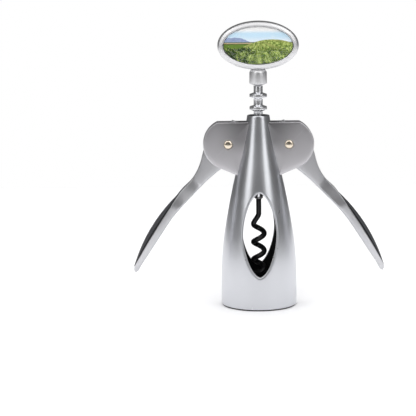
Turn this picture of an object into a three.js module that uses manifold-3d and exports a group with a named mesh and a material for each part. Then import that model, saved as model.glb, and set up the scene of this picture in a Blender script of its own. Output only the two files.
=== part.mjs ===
// Lever (wing) corkscrew: a die-cast bell stands on the bottle, two geared levers turn on
// rivets between its cheeks, and a ringed sleeve round the worm's shank is their rack.
// Millimetres, +Z up. The origin is the centre of the face that the corkscrew stands on,
// the levers spread along X, and the picture on the handle faces -Y.

import * as THREE from 'three';
import { mergeVertices } from 'three/addons/utils/BufferGeometryUtils.js';
import Module from 'manifold-3d';

const wasm = await Module();
wasm.setup();

// ---- Bell --------------------------------------------------------------------------
const FLANGE_THICKNESS = 0.8;      // black flange under the bell's rim
const BELL_TOP = 106.5;
const BELL_WALL = 1.8;
const NECK_BORE_RADIUS = 5.45;
const BELL_OUTLINE = [             // [radius, height] up the outside of the bell
  [21.1, FLANGE_THICKNESS], [21.0, 15], [20.6, 27], [19.3, 40], [17.0, 53.5],
  [14.2, 67.5], [11.1, 80.5], [8.6, 91.5], [7.0, 101], [6.15, BELL_TOP],
];
const WINDOW_CENTRE_Z = 41.8;
const WINDOW_HALF_HEIGHT = 22.8;
const WINDOW_HALF_WIDTH = 9.2;
const WINDOW_EXPONENT = 1.7;       // 2 would be an ellipse; less points its ends
const ROUND_STEPS = 40;            // facets round the bell and its liner

// ---- Cheeks and rivets -------------------------------------------------------------
const PIVOT_X = 16.83;
const PIVOT_Z = 90.5;
const CHEEK_RADIUS = 13.8;
const CHEEK_TOP = 103;
const CHEEK_SLOPE = THREE.MathUtils.degToRad(23);
const SLOT_HALF = 2.85;            // half the gap between the two cheeks
const CHEEK_OUTER = 4.75;          // outer face of a cheek from the middle plane
const CHEEK_ROOT_X = 4;            // cheeks start inside the wall of the neck
const RIVET_SHANK_RADIUS = 1.6;
const RIVET_HEAD_RADIUS = 2.4;
const RIVET_HEAD_HEIGHT = 1.0;
const RIVET_HOLE_RADIUS = 1.7;
const RIVET_RECESS_RADIUS = 3.0;
const RIVET_RECESS_DEPTH = 0.9;
const RIVET_STEPS = 16;

// ---- Gear teeth and rack rings -----------------------------------------------------
const GEAR_TEETH_ON_CIRCLE = 12;
const TEETH_CUT = 5;
const RACK_PITCH_RADIUS = 3.65;
const PITCH_RADIUS = PIVOT_X - RACK_PITCH_RADIUS;
const RACK_PITCH = (2 * Math.PI * PITCH_RADIUS) / GEAR_TEETH_ON_CIRCLE;
const PRESSURE_ANGLE = THREE.MathUtils.degToRad(18);
const BASE_RADIUS = PITCH_RADIUS * Math.cos(PRESSURE_ANGLE);
const TIP_RADIUS = 13.4;
const ROOT_RADIUS = 11.73;
const TOOTH_HALF_ANGLE = 1.975 / PITCH_RADIUS;
const TOOTH_STEP = (2 * Math.PI) / GEAR_TEETH_ON_CIRCLE;
const MESHED_RING_Z = 89.7;        // centre of the ring beside the pivots at rest
const GEAR_HALF_THICKNESS = 2.6;
const SWEEP_CLEARANCE = 0.8;
const HUB_BORE_RADIUS = 1.75;

// ---- Ringed sleeve -----------------------------------------------------------------
const RING_RADIUS = 4.8;
const SLEEVE_RADIUS = 2.5;
const SLEEVE_BORE_RADIUS = 1.68;
const SLEEVE_BOTTOM = 61;
const SLEEVE_TOP = 122.6;
const RINGS_ABOVE = 4;             // rings above the one beside the pivots
const RINGS_BELOW = 3;
const RING_HALF_AT_PITCH = 1.25;
const RING_EDGE = 0.4;             // chamfer on a ring's rim
const SLEEVE_STEPS = 20;

// ---- Worm --------------------------------------------------------------------------
const WIRE_RADIUS = 1.45;
const WIRE_SIDES = 8;
const HELIX_RADIUS = 3.0;
const HELIX_PITCH = 9.8;
const TURN_END_Z = 45.2;           // the turns stop here, furthest to -X
const TURN_EASE = 0.6;
const HELIX_TOP = 51.5;
const WORM_TIP_Z = 17.5;
const WORM_STEPS = 44;
const SHANK_TOP = 129;
const COLLAR_HEIGHT = 0.9;
const COLLAR_RADIUS = 2.5;
const PRESSED_GAP = 0.1;           // clearance left where one piece is pressed on another

// ---- Handle ------------------------------------------------------------------------
const STEM_BOTTOM = 122.9;
const STEM_RADIUS = 4.8;
const STEM_CHAMFER = [2.1, 1.1];   // width and height of the cone at its foot
const STEM_SHOULDER_Z = 129.6;     // where its domed top starts
const OVAL_CENTRE_Z = 144.9;
const OVAL_HALF_WIDTH = 22.3;
const OVAL_HALF_HEIGHT = 13.4;
const OVAL_HALF_THICKNESS = 4.2;
const OVAL_ROUNDING = 2.2;
const PICTURE_HALF_WIDTH = 19;
const PICTURE_HALF_HEIGHT = 10.3;
const POCKET_FLOOR_Y = -2.2;
const PICTURE_THICKNESS = 0.8;
const PICTURE_GAP = 0.15;
const DOME_HEIGHT = 1.5;
const OVAL_STEPS = 18;

// ---- Lever arm, in its own grip line's frame ---------------------------------------
const GRIP_START = [43.3, 64.6];   // x, z of the outer edge where the grip starts
const GRIP_ANGLE = THREE.MathUtils.degToRad(57.8);   // grip line below the horizontal
const ARM_TIP = 52.9;              // along the grip line
const FLARE_START = -9;            // where the flat arm starts to widen
const FLARE_END = 10;              // where it reaches its full width
const LEAF_MIDDLE = 22;            // where it starts to narrow
const LEAF_HALF_WIDTH = 7;
const PAD_MIDDLE = 25.5;
const PAD_HALF_LENGTH = 24.5;
const PAD_HALF_WIDTH = 5.6;
const PAD_CROWN = 3.3;
const PAD_SEAT = -1.0;             // underside of the pad, below the grip line
const PAD_GAP = 0.25;

// ---- Black plastic parts -----------------------------------------------------------
const LINER_GAP = 0.2;
const LINER_WALL = 1.2;
const LINER_TOP = 68;
const FLANGE_OUTER = 20.4;
const FLANGE_INNER = 17.7;
const SEAT_HEIGHT = 14;
const SEAT_THICKNESS = 1.6;
const SEAT_OPENING_RADIUS = 12.5;
const BUSH_BOTTOM = 100;
const BUSH_TOP = BELL_TOP - 0.3;
const BUSH_BORE_RADIUS = 5.0;

// ---- Helpers -----------------------------------------------------------------------

// Shared corners are merged, and the flat triangles that a lathe leaves on its axis go.
function weld(geometry) {
  const bare = geometry.clone();
  bare.deleteAttribute('normal');
  bare.deleteAttribute('uv');
  const merged = mergeVertices(bare);
  const corners = Array.from(merged.index.array);
  const kept = [];
  for (let i = 0; i < corners.length; i += 3) {
    const [a, b, c] = corners.slice(i, i + 3);
    if (a !== b && b !== c && c !== a) kept.push(a, b, c);
  }
  merged.setIndex(kept);
  return merged;
}

function toSolid(geometry) {
  const welded = weld(geometry);
  const mesh = new wasm.Mesh({
    numProp: 3,
    vertProperties: new Float32Array(welded.attributes.position.array),
    triVerts: new Uint32Array(welded.index.array),
  });
  return new wasm.Manifold(mesh);
}

function fromSolid(solid) {
  const mesh = solid.getMesh();
  const geometry = new THREE.BufferGeometry();
  geometry.setAttribute('position', new THREE.BufferAttribute(mesh.vertProperties, 3));
  geometry.setIndex(new THREE.BufferAttribute(mesh.triVerts, 1));
  geometry.computeVertexNormals();
  return geometry;
}

// A profile of [radius, height] pairs turned about Z. It runs up the outside first.
function turned(profile, steps) {
  const points = profile.map(([radius, height]) => new THREE.Vector2(radius, height));
  return new THREE.LatheGeometry(points, steps).rotateX(Math.PI / 2);
}

// A ring-shaped profile, closed on itself, turned about Z.
function turnedRing(profile, steps) {
  return turned([...profile, profile[0]], steps);
}

// A shape drawn in the X-Z plane, made solid between two values of Y.
function acrossY(shape, yLow, yHigh, options = {}) {
  const settings = { depth: yHigh - yLow, bevelEnabled: false, curveSegments: 16, ...options };
  return new THREE.ExtrudeGeometry(shape, settings).rotateX(Math.PI / 2).translate(0, yHigh, 0);
}

function shapeFrom(pairs) {
  return new THREE.Shape(pairs.map(([x, y]) => new THREE.Vector2(x, y)));
}

function rodAlongY(x, z, radius, yLow, yHigh, steps) {
  return new THREE.CylinderGeometry(radius, radius, yHigh - yLow, steps)
    .translate(0, (yLow + yHigh) / 2, 0)
    .translate(x, 0, z);
}

function piece(name, geometry, color, roughness, metalness, extra = {}) {
  const material = new THREE.MeshStandardMaterial({ color, roughness, metalness, ...extra });
  const mesh = new THREE.Mesh(geometry, material);
  mesh.name = name;
  return mesh;
}

function superellipse(halfWidth, halfHeight, centreZ, exponent, steps) {
  const power = 2 / exponent;
  const pairs = [];
  for (let i = 0; i < steps; i += 1) {
    const angle = (2 * Math.PI * i) / steps;
    const c = Math.cos(angle);
    const s = Math.sin(angle);
    const x = halfWidth * Math.sign(c) * Math.abs(c) ** power;
    const z = centreZ + halfHeight * Math.sign(s) * Math.abs(s) ** power;
    pairs.push([x, z]);
  }
  return shapeFrom(pairs);
}

// ---- Bell housing ------------------------------------------------------------------

const bellCurve = new THREE.SplineCurve(BELL_OUTLINE.map(([r, z]) => new THREE.Vector2(r, z)));
const bellOutside = bellCurve.getPoints(13).map((p) => [p.x, p.y]);
const bellInside = bellOutside.map(([r, z]) => [Math.max(NECK_BORE_RADIUS, r - BELL_WALL), z]);

// Flat top, round outer end, and a straight lower edge that slopes back to the bell.
function cheekOutline() {
  const flatEnd = Math.acos((CHEEK_TOP - PIVOT_Z) / CHEEK_RADIUS);
  const slopeStart = CHEEK_SLOPE - Math.PI / 2;
  const tangentX = PIVOT_X + CHEEK_RADIUS * Math.cos(slopeStart);
  const tangentZ = PIVOT_Z + CHEEK_RADIUS * Math.sin(slopeStart);
  const rootZ = tangentZ - (tangentX - CHEEK_ROOT_X) * Math.tan(CHEEK_SLOPE);
  const shape = new THREE.Shape();
  shape.moveTo(CHEEK_ROOT_X, CHEEK_TOP);
  shape.lineTo(PIVOT_X + CHEEK_RADIUS * Math.sin(flatEnd), CHEEK_TOP);
  shape.absarc(PIVOT_X, PIVOT_Z, CHEEK_RADIUS, Math.PI / 2 - flatEnd, slopeStart, true);
  shape.lineTo(CHEEK_ROOT_X, rootZ);
  return shape;
}

// Plates, rivet holes and slot on the +X side; the -X side is the same, turned half round.
function cheekPair() {
  const outline = cheekOutline();
  const front = toSolid(acrossY(outline, -CHEEK_OUTER, -SLOT_HALF, { curveSegments: 18 }));
  const back = toSolid(acrossY(outline, SLOT_HALF, CHEEK_OUTER, { curveSegments: 18 }));
  return front.add(back);
}

function cheekCuts() {
  const sweep = TIP_RADIUS + SWEEP_CLEARANCE;
  const slot = rodAlongY(PIVOT_X, PIVOT_Z, sweep, -SLOT_HALF, SLOT_HALF, 36);
  const hole = rodAlongY(PIVOT_X, PIVOT_Z, RIVET_HOLE_RADIUS, -9, 9, RIVET_STEPS);
  const floor = CHEEK_OUTER - RIVET_RECESS_DEPTH;
  const front = rodAlongY(PIVOT_X, PIVOT_Z, RIVET_RECESS_RADIUS, -9, -floor, RIVET_STEPS);
  const back = rodAlongY(PIVOT_X, PIVOT_Z, RIVET_RECESS_RADIUS, floor, 9, RIVET_STEPS);
  return toSolid(slot).add(toSolid(hole)).add(toSolid(front)).add(toSolid(back));
}

function halfTurn(solid) {
  return solid.rotate([0, 0, 180]);
}

function bellHousing() {
  const lowInside = [bellInside[0][0], -1];
  const highInside = [NECK_BORE_RADIUS, BELL_TOP + 1];
  const cavityProfile = [[0, -1], lowInside, ...bellInside, highInside, [0, BELL_TOP + 1]];
  const cavity = toSolid(turned(cavityProfile, ROUND_STEPS));
  const bodyProfile = [[0, FLANGE_THICKNESS], ...bellOutside, [0, BELL_TOP]];
  const body = toSolid(turned(bodyProfile, ROUND_STEPS));
  const window = superellipse(
    WINDOW_HALF_WIDTH, WINDOW_HALF_HEIGHT, WINDOW_CENTRE_Z, WINDOW_EXPONENT, 28);
  const windows = toSolid(acrossY(window, -30, 30));
  const cheeks = cheekPair();
  const cuts = cheekCuts();
  const solid = body
    .add(cheeks)
    .add(halfTurn(cheeks))
    .subtract(cavity)
    .subtract(windows)
    .subtract(cuts)
    .subtract(halfTurn(cuts));
  return fromSolid(solid);
}

// ---- Black plastic parts -----------------------------------------------------------

// Liner: flange under the rim, wall up the inside, and a ledge that sits on the bottle.
function bottleGuide() {
  const outside = bellOutside
    .filter(([, z]) => z > FLANGE_THICKNESS && z < LINER_TOP)
    .map(([r, z]) => [r - BELL_WALL - LINER_GAP, z]);
  const inside = outside.map(([r, z]) => [r - LINER_WALL, z]).reverse();
  const wallRadius = outside[0][0];
  const seatTop = SEAT_HEIGHT + SEAT_THICKNESS;
  const above = inside.filter(([, z]) => z > seatTop + 1);
  const ledge = [
    [inside[inside.length - 1][0], seatTop],
    [SEAT_OPENING_RADIUS, seatTop],
    [SEAT_OPENING_RADIUS, SEAT_HEIGHT],
    [FLANGE_INNER, SEAT_HEIGHT],
  ];
  const flange = [
    [FLANGE_INNER, 0],
    [FLANGE_OUTER - 0.2, 0],
    [FLANGE_OUTER, 0.2],
    [FLANGE_OUTER, FLANGE_THICKNESS],
    [wallRadius, FLANGE_THICKNESS],
  ];
  const profile = [...flange, ...outside, ...above, ...ledge];
  const window = superellipse(
    WINDOW_HALF_WIDTH + LINER_GAP, WINDOW_HALF_HEIGHT + LINER_GAP,
    WINDOW_CENTRE_Z, WINDOW_EXPONENT, 28);
  const windows = toSolid(acrossY(window, -30, 30));
  return fromSolid(toSolid(turnedRing(profile, ROUND_STEPS)).subtract(windows));
}

function neckBush() {
  const outerRadius = NECK_BORE_RADIUS - PRESSED_GAP;
  const profile = [
    [BUSH_BORE_RADIUS, BUSH_BOTTOM],
    [outerRadius, BUSH_BOTTOM],
    [outerRadius, BUSH_TOP],
    [BUSH_BORE_RADIUS, BUSH_TOP],
  ];
  return weld(turnedRing(profile, 24));
}

// ---- Rack sleeve and worm ----------------------------------------------------------

// One ring of the rack: flanks at the pressure angle, rim chamfered.
function ringProfile(centreZ) {
  const halfAt = (radius) => RING_HALF_AT_PITCH
    + (RACK_PITCH_RADIUS - radius) * Math.tan(PRESSURE_ANGLE);
  const shoulder = RING_RADIUS - RING_EDGE;
  const rim = halfAt(shoulder) - RING_EDGE;
  return [
    [SLEEVE_RADIUS, centreZ - halfAt(SLEEVE_RADIUS)],
    [shoulder, centreZ - halfAt(shoulder)],
    [RING_RADIUS, centreZ - rim],
    [RING_RADIUS, centreZ + rim],
    [shoulder, centreZ + halfAt(shoulder)],
    [SLEEVE_RADIUS, centreZ + halfAt(SLEEVE_RADIUS)],
  ];
}

function rackSleeve() {
  const profile = [[SLEEVE_BORE_RADIUS, SLEEVE_BOTTOM], [SLEEVE_RADIUS, SLEEVE_BOTTOM]];
  for (let i = -RINGS_BELOW; i <= RINGS_ABOVE; i += 1) {
    profile.push(...ringProfile(MESHED_RING_Z + i * RACK_PITCH));
  }
  profile.push([SLEEVE_RADIUS, SLEEVE_TOP], [SLEEVE_BORE_RADIUS, SLEEVE_TOP]);
  return weld(turnedRing(profile, SLEEVE_STEPS));
}

// Right-handed helix. Above its last turn it leans straight in to the axis.
class WormCurve extends THREE.Curve {
  getPoint(t, target = new THREE.Vector3()) {
    const z = THREE.MathUtils.lerp(HELIX_TOP, WORM_TIP_Z + WIRE_RADIUS, t);
    const turning = -TURN_EASE * Math.log1p(Math.exp((TURN_END_Z - z) / TURN_EASE));
    const angle = Math.PI + (2 * Math.PI * turning) / HELIX_PITCH;
    const swing = 1 - THREE.MathUtils.smoothstep(z, TURN_END_Z, HELIX_TOP);
    const radius = HELIX_RADIUS * swing;
    return target.set(radius * Math.cos(angle), radius * Math.sin(angle), z);
  }
}

function worm() {
  const section = new THREE.Shape().absarc(0, 0, WIRE_RADIUS, 0, 2 * Math.PI, false);
  const helix = new THREE.ExtrudeGeometry(section, {
    extrudePath: new WormCurve(), steps: WORM_STEPS, curveSegments: WIRE_SIDES / 2,
  });
  const shank = turned([
    [0, HELIX_TOP - WIRE_RADIUS], [WIRE_RADIUS, HELIX_TOP - WIRE_RADIUS],
    [WIRE_RADIUS, SHANK_TOP], [0, SHANK_TOP],
  ], WIRE_SIDES * 2);
  return fromSolid(toSolid(helix).add(toSolid(shank)));
}

// Ring pressed on the shank under the sleeve, so that the sleeve can't slide off.
function wormCollar() {
  const bore = WIRE_RADIUS + PRESSED_GAP;
  const top = SLEEVE_BOTTOM - 0.3;
  const bottom = top - COLLAR_HEIGHT;
  const profile = [[bore, bottom], [COLLAR_RADIUS, bottom], [COLLAR_RADIUS, top], [bore, top]];
  return weld(turnedRing(profile, SLEEVE_STEPS));
}

// ---- Handle ------------------------------------------------------------------------

function oval(halfWidth, halfHeight) {
  return new THREE.Shape().absellipse(
    0, OVAL_CENTRE_Z, halfWidth, halfHeight, 0, 2 * Math.PI, false, 0);
}

// Oval plate with a rounded rim, on a round stem that is bored for the worm's shank.
function handleFrame() {
  const flatHalf = OVAL_HALF_THICKNESS - OVAL_ROUNDING;
  const outline = oval(OVAL_HALF_WIDTH - OVAL_ROUNDING, OVAL_HALF_HEIGHT - OVAL_ROUNDING);
  const plate = toSolid(acrossY(outline, -flatHalf, flatHalf, {
    bevelEnabled: true, bevelSize: OVAL_ROUNDING, bevelThickness: OVAL_ROUNDING,
    bevelSegments: 3, curveSegments: OVAL_STEPS,
  }));
  const [chamferWidth, chamferHeight] = STEM_CHAMFER;
  const stem = toSolid(turned([
    [0, STEM_BOTTOM],
    [STEM_RADIUS - chamferWidth, STEM_BOTTOM],
    [STEM_RADIUS, STEM_BOTTOM + chamferHeight],
    [STEM_RADIUS, STEM_SHOULDER_Z],
    [STEM_RADIUS - 0.25, STEM_SHOULDER_Z + 0.9],
    [STEM_RADIUS - 0.9, STEM_SHOULDER_Z + 1.7],
    [STEM_RADIUS - 2, STEM_SHOULDER_Z + 2.3],
    [0, STEM_SHOULDER_Z + 2.8],
  ], SLEEVE_STEPS));
  const pocketShape = oval(PICTURE_HALF_WIDTH, PICTURE_HALF_HEIGHT);
  const pocket = toSolid(acrossY(pocketShape, -9, POCKET_FLOOR_Y, { curveSegments: OVAL_STEPS }));
  const bore = toSolid(turned([
    [0, STEM_BOTTOM - 1], [WIRE_RADIUS + PRESSED_GAP, STEM_BOTTOM - 1],
    [WIRE_RADIUS + PRESSED_GAP, SHANK_TOP + 0.3], [0, SHANK_TOP + 0.3],
  ], WIRE_SIDES * 2));
  return fromSolid(plate.add(stem).subtract(pocket).subtract(bore));
}

function pictureDisc() {
  const shape = oval(PICTURE_HALF_WIDTH - PICTURE_GAP, PICTURE_HALF_HEIGHT - PICTURE_GAP);
  const back = POCKET_FLOOR_Y - 0.05;
  const front = back - PICTURE_THICKNESS;
  return weld(acrossY(shape, front, back, { curveSegments: OVAL_STEPS }));
}

// Clear domed cap over the picture: an oval slab whose front is rounded off.
function domeLens() {
  const back = POCKET_FLOOR_Y - 0.1 - PICTURE_THICKNESS;
  const halfWidth = PICTURE_HALF_WIDTH - PICTURE_GAP;
  const halfHeight = PICTURE_HALF_HEIGHT - PICTURE_GAP;
  const dome = new THREE.SphereGeometry(1, 32, 10)
    .scale(halfWidth, DOME_HEIGHT, halfHeight)
    .translate(0, back - 0.3, OVAL_CENTRE_Z);
  const front = acrossY(oval(halfWidth, halfHeight), back - 0.3, back, {
    curveSegments: OVAL_STEPS,
  });
  const behind = acrossY(oval(30, 30), back, back + 9);
  return fromSolid(toSolid(dome).add(toSolid(front)).subtract(toSolid(behind)));
}

// ---- Levers ------------------------------------------------------------------------

// Half the angle that a tooth fills at a radius, by the involute of its base circle.
function toothHalfAngle(radius) {
  const involute = (angle) => Math.tan(angle) - angle;
  const angleAt = Math.acos(Math.min(1, BASE_RADIUS / radius));
  return TOOTH_HALF_ANGLE + involute(PRESSURE_ANGLE) - involute(angleAt);
}

// Pivot-centred outline: a run of teeth on the side of the rack, and a plain round hub.
function gearOutline() {
  const gapRise = MESHED_RING_Z + RACK_PITCH / 2 - PIVOT_Z;
  const topTooth = Math.PI - gapRise / PITCH_RADIUS - 2 * TOOTH_STEP;
  const flankRadii = [ROOT_RADIUS, BASE_RADIUS, PITCH_RADIUS, TIP_RADIUS];
  const polar = (radius, angle) => [radius * Math.cos(angle), radius * Math.sin(angle)];
  const pairs = [];
  for (let i = 0; i < TEETH_CUT; i += 1) {
    const centre = topTooth + i * TOOTH_STEP;
    flankRadii.forEach((r) => pairs.push(polar(r, centre - toothHalfAngle(r))));
    [...flankRadii].reverse().forEach((r) => pairs.push(polar(r, centre + toothHalfAngle(r))));
  }
  const plainStart = topTooth + (TEETH_CUT - 1) * TOOTH_STEP + toothHalfAngle(ROOT_RADIUS);
  const plainEnd = topTooth - toothHalfAngle(ROOT_RADIUS) + 2 * Math.PI;
  const plainSteps = 24;
  for (let i = 1; i < plainSteps; i += 1) {
    const angle = THREE.MathUtils.lerp(plainStart, plainEnd, i / plainSteps);
    pairs.push(polar(ROOT_RADIUS, angle));
  }
  return shapeFrom(pairs);
}

// Side view of the arm in X-Z: down the outer edge to the tip, and back up the inner one.
function armOutline() {
  const at = ([x, z]) => new THREE.Vector2(x, z);
  const shape = new THREE.Shape();
  shape.moveTo(27.2, 94.3);
  shape.splineThru([[30.6, 87.7], [31.9, 81.6], [34.2, 75.6], [37.8, 70.2], GRIP_START].map(at));
  shape.quadraticCurveTo(57.4, 45.0, 69.1, 24.0);
  shape.quadraticCurveTo(71.7, 17.6, 68.2, 18.9);
  shape.splineThru([
    [64.1, 25.8], [53.7, 41.9], [46.6, 52.0], [37.3, 61.6], [29.5, 69.6], [21.1, 76.6], [15, 80],
  ].map(at));
  return shape;
}

// Half-width of the arm along its grip line: flat bar, widening leaf, round tip.
function leafHalfWidth(along) {
  if (along < LEAF_MIDDLE) {
    const rise = THREE.MathUtils.smoothstep(along, FLARE_START, FLARE_END);
    return THREE.MathUtils.lerp(GEAR_HALF_THICKNESS, LEAF_HALF_WIDTH, rise);
  }
  const reach = (along - LEAF_MIDDLE) / (ARM_TIP - LEAF_MIDDLE);
  return LEAF_HALF_WIDTH * Math.sqrt(Math.max(0, 1 - reach * reach));
}

// Places a geometry made as x = along the grip line, z = outwards from it.
function toGripLine(geometry) {
  return geometry.rotateY(GRIP_ANGLE).translate(GRIP_START[0], 0, GRIP_START[1]);
}

// The leaf seen square on to the grip line, made thick enough to hold the whole arm.
function leafPrism() {
  const steps = 18;
  const start = -60;
  const edge = [[start, -GEAR_HALF_THICKNESS]];
  for (let i = 0; i <= steps; i += 1) {
    const ease = Math.sin((i / steps) * Math.PI / 2);
    const along = THREE.MathUtils.lerp(FLARE_START, ARM_TIP, ease);
    edge.push([along, -leafHalfWidth(along)]);
  }
  const mirrored = edge.slice(0, -1).reverse().map(([along, y]) => [along, -y]);
  const slab = new THREE.ExtrudeGeometry(shapeFrom([...edge, ...mirrored]), {
    depth: 80, bevelEnabled: false,
  });
  return toGripLine(slab.translate(0, 0, -40));
}

// Long shallow dome, cut flat at its seat. The recess for it is the same, a gap larger.
function padSolid(gap) {
  const dome = new THREE.SphereGeometry(1, 24, 10)
    .scale(PAD_HALF_LENGTH + gap, PAD_HALF_WIDTH + gap, PAD_CROWN + gap)
    .translate(PAD_MIDDLE, 0, 0);
  const below = new THREE.BoxGeometry(80, 20, 20).translate(PAD_MIDDLE, 0, PAD_SEAT - gap - 10);
  return toSolid(toGripLine(dome)).subtract(toSolid(toGripLine(below)));
}

function lever() {
  const hub = toSolid(acrossY(gearOutline(), -GEAR_HALF_THICKNESS, GEAR_HALF_THICKNESS)
    .translate(PIVOT_X, 0, PIVOT_Z));
  const side = toSolid(acrossY(armOutline(), -9, 9, { curveSegments: 3 }));
  const bore = toSolid(rodAlongY(PIVOT_X, PIVOT_Z, HUB_BORE_RADIUS, -9, 9, RIVET_STEPS));
  const arm = side.intersect(toSolid(leafPrism()));
  return fromSolid(arm.add(hub).subtract(bore).subtract(padSolid(PAD_GAP)));
}

// ---- Rivets ------------------------------------------------------------------------

// Turned about its own length and laid along Y: a domed head at each end of a shank.
function rivet() {
  const seat = CHEEK_OUTER - RIVET_RECESS_DEPTH + 0.05;
  const crown = seat + RIVET_HEAD_HEIGHT;
  const rim = seat + RIVET_HEAD_HEIGHT * 0.45;
  const mid = (RIVET_HEAD_RADIUS * 2) / 3;
  const shoulder = seat + RIVET_HEAD_HEIGHT * 0.85;
  const profile = [
    [0, -crown], [mid, -shoulder], [RIVET_HEAD_RADIUS, -rim], [RIVET_HEAD_RADIUS, -seat],
    [RIVET_SHANK_RADIUS, -seat], [RIVET_SHANK_RADIUS, seat],
    [RIVET_HEAD_RADIUS, seat], [RIVET_HEAD_RADIUS, rim], [mid, shoulder], [0, crown],
  ];
  return weld(turned(profile, RIVET_STEPS).rotateX(-Math.PI / 2));
}

// ---- Assembly ----------------------------------------------------------------------

const SATIN = [0xb4b5ba, 0.32, 1.0];
const POLISHED = [0xc8c9cc, 0.18, 1.0];
const BLACK_PLASTIC = [0x111112, 0.5, 0.0];
const GRIP_RUBBER = [0x3a3a3e, 0.7, 0.0];
const NICKEL_BRASS = [0xd9cbb4, 0.22, 1.0];

const corkscrew = new THREE.Group();
corkscrew.add(piece('bell_housing', bellHousing(), ...SATIN));
corkscrew.add(piece('bottle_guide', bottleGuide(), ...BLACK_PLASTIC));
corkscrew.add(piece('neck_bush', neckBush(), ...BLACK_PLASTIC));

const rackGroup = new THREE.Group();
rackGroup.add(piece('rack_sleeve', rackSleeve(), ...POLISHED));
corkscrew.add(rackGroup);

const screwGroup = new THREE.Group();
screwGroup.add(piece('worm', worm(), 0x0c0c0d, 0.35, 0.0));
screwGroup.add(piece('worm_collar', wormCollar(), ...POLISHED));
screwGroup.add(piece('handle_frame', handleFrame(), ...SATIN));
screwGroup.add(piece('picture_disc', pictureDisc(), 0x7fa53a, 0.6, 0.0));
screwGroup.add(piece('dome_lens', domeLens(), 0xffffff, 0.05, 0.0, {
  transparent: true, opacity: 0.3,
}));
rackGroup.add(screwGroup);

// The levers and their pads are alike; the left pair is the right one turned half round.
const leverGeometry = lever();
const padGeometry = fromSolid(padSolid(0));
const rivetGeometry = rivet();
for (const [side, turn] of [['right', 0], ['left', Math.PI]]) {
  const wing = new THREE.Group();
  wing.rotation.z = turn;
  wing.add(piece(`lever_${side}`, leverGeometry, ...SATIN));
  wing.add(piece(`lever_pad_${side}`, padGeometry, ...GRIP_RUBBER));
  corkscrew.add(wing);
  const pin = piece(`pivot_rivet_${side}`, rivetGeometry, ...NICKEL_BRASS);
  pin.position.set(PIVOT_X * Math.cos(turn), 0, PIVOT_Z);
  corkscrew.add(pin);
}

export default corkscrew;
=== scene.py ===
# %% [markdown]
# # A winged lever corkscrew
# A die-cast bell stands on the bottle. Two geared levers turn on rivets between its cheeks, and
# their teeth drive a ringed sleeve up and down. A black worm runs through the sleeve to an oval
# handle with a small landscape under clear resin.
#
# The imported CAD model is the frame: it says where each piece is, how big it is, and what moves
# with what. Every piece here is a finer version of one CAD node, worked out with numpy.

# %% Load the frame
import math

import bmesh
import bpy
import numpy as np
from mathutils import Matrix, Vector


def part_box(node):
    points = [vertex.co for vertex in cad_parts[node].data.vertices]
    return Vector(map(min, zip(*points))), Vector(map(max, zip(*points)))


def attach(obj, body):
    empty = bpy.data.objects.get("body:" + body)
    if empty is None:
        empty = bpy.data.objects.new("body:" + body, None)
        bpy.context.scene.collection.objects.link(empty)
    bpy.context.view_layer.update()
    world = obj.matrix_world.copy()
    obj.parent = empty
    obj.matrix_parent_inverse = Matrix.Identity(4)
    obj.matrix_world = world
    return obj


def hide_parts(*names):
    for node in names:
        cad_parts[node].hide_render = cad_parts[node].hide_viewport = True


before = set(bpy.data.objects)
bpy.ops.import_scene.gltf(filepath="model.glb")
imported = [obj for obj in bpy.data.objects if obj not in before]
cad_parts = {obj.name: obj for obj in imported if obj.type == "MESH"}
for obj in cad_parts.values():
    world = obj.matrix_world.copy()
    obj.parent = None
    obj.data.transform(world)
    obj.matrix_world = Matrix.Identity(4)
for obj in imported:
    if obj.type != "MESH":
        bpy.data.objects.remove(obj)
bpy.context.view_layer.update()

MM = 0.001
print("nodes in the frame:", len(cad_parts))

# %% [markdown]
# ## Tools for making surfaces
# Almost every piece of a corkscrew is a surface with two directions: up and round for what is
# turned on a lathe, along and round for what is bent or cast. So a piece is a grid of points,
# worked out as whole arrays, and the faces only join neighbours on the grid. The joined mesh is
# welded, its faces are turned outwards, and edges sharper than a limit stay crisp.

# %% Grids into meshes
def grid_faces(rows, cols, close_rows, close_cols):
    """Four-cornered faces between neighbours of a grid whose points are numbered row by row."""
    r = np.arange(rows if close_rows else rows - 1)
    c = np.arange(cols if close_cols else cols - 1)
    i, j = np.meshgrid(r, c, indexing="ij")
    below, beside = (i + 1) % rows, (j + 1) % cols
    corners = [i * cols + j, i * cols + beside, below * cols + beside, below * cols + j]
    return np.stack(corners, axis=-1).reshape(-1, 4)


def weld_and_smooth(mesh, crisp_degrees):
    """Merges points that meet, turns faces outwards, and shades smooth except at crisp edges."""
    work = bmesh.new()
    work.from_mesh(mesh)
    bmesh.ops.remove_doubles(work, verts=work.verts, dist=0.002 * MM)
    bmesh.ops.recalc_face_normals(work, faces=work.faces)
    work.to_mesh(mesh)
    work.free()
    mesh.shade_smooth()
    mesh.set_sharp_from_angle(angle=math.radians(crisp_degrees))


def piece_from_grids(name, grids, crisp_degrees=35):
    """One object from several grids. A grid is (points, close_rows, close_cols), in metres."""
    points, faces, start = [], [], 0
    for grid, close_rows, close_cols in grids:
        rows, cols = grid.shape[:2]
        points.append(grid.reshape(-1, 3))
        faces.append(grid_faces(rows, cols, close_rows, close_cols) + start)
        start += rows * cols
    mesh = bpy.data.meshes.new(name)
    mesh.from_pydata(np.concatenate(points).tolist(), [], np.concatenate(faces).tolist())
    weld_and_smooth(mesh, crisp_degrees)
    piece = bpy.data.objects.new(name, mesh)
    bpy.context.scene.collection.objects.link(piece)
    print(f"{name}: {len(mesh.vertices)} points, {len(mesh.polygons)} faces")
    return piece


def settle(piece, body, node, material):
    """Gives a piece its finish and its body, and hides the CAD node that it stands for."""
    piece.data.materials.append(material)
    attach(piece, body)
    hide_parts(node)


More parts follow.
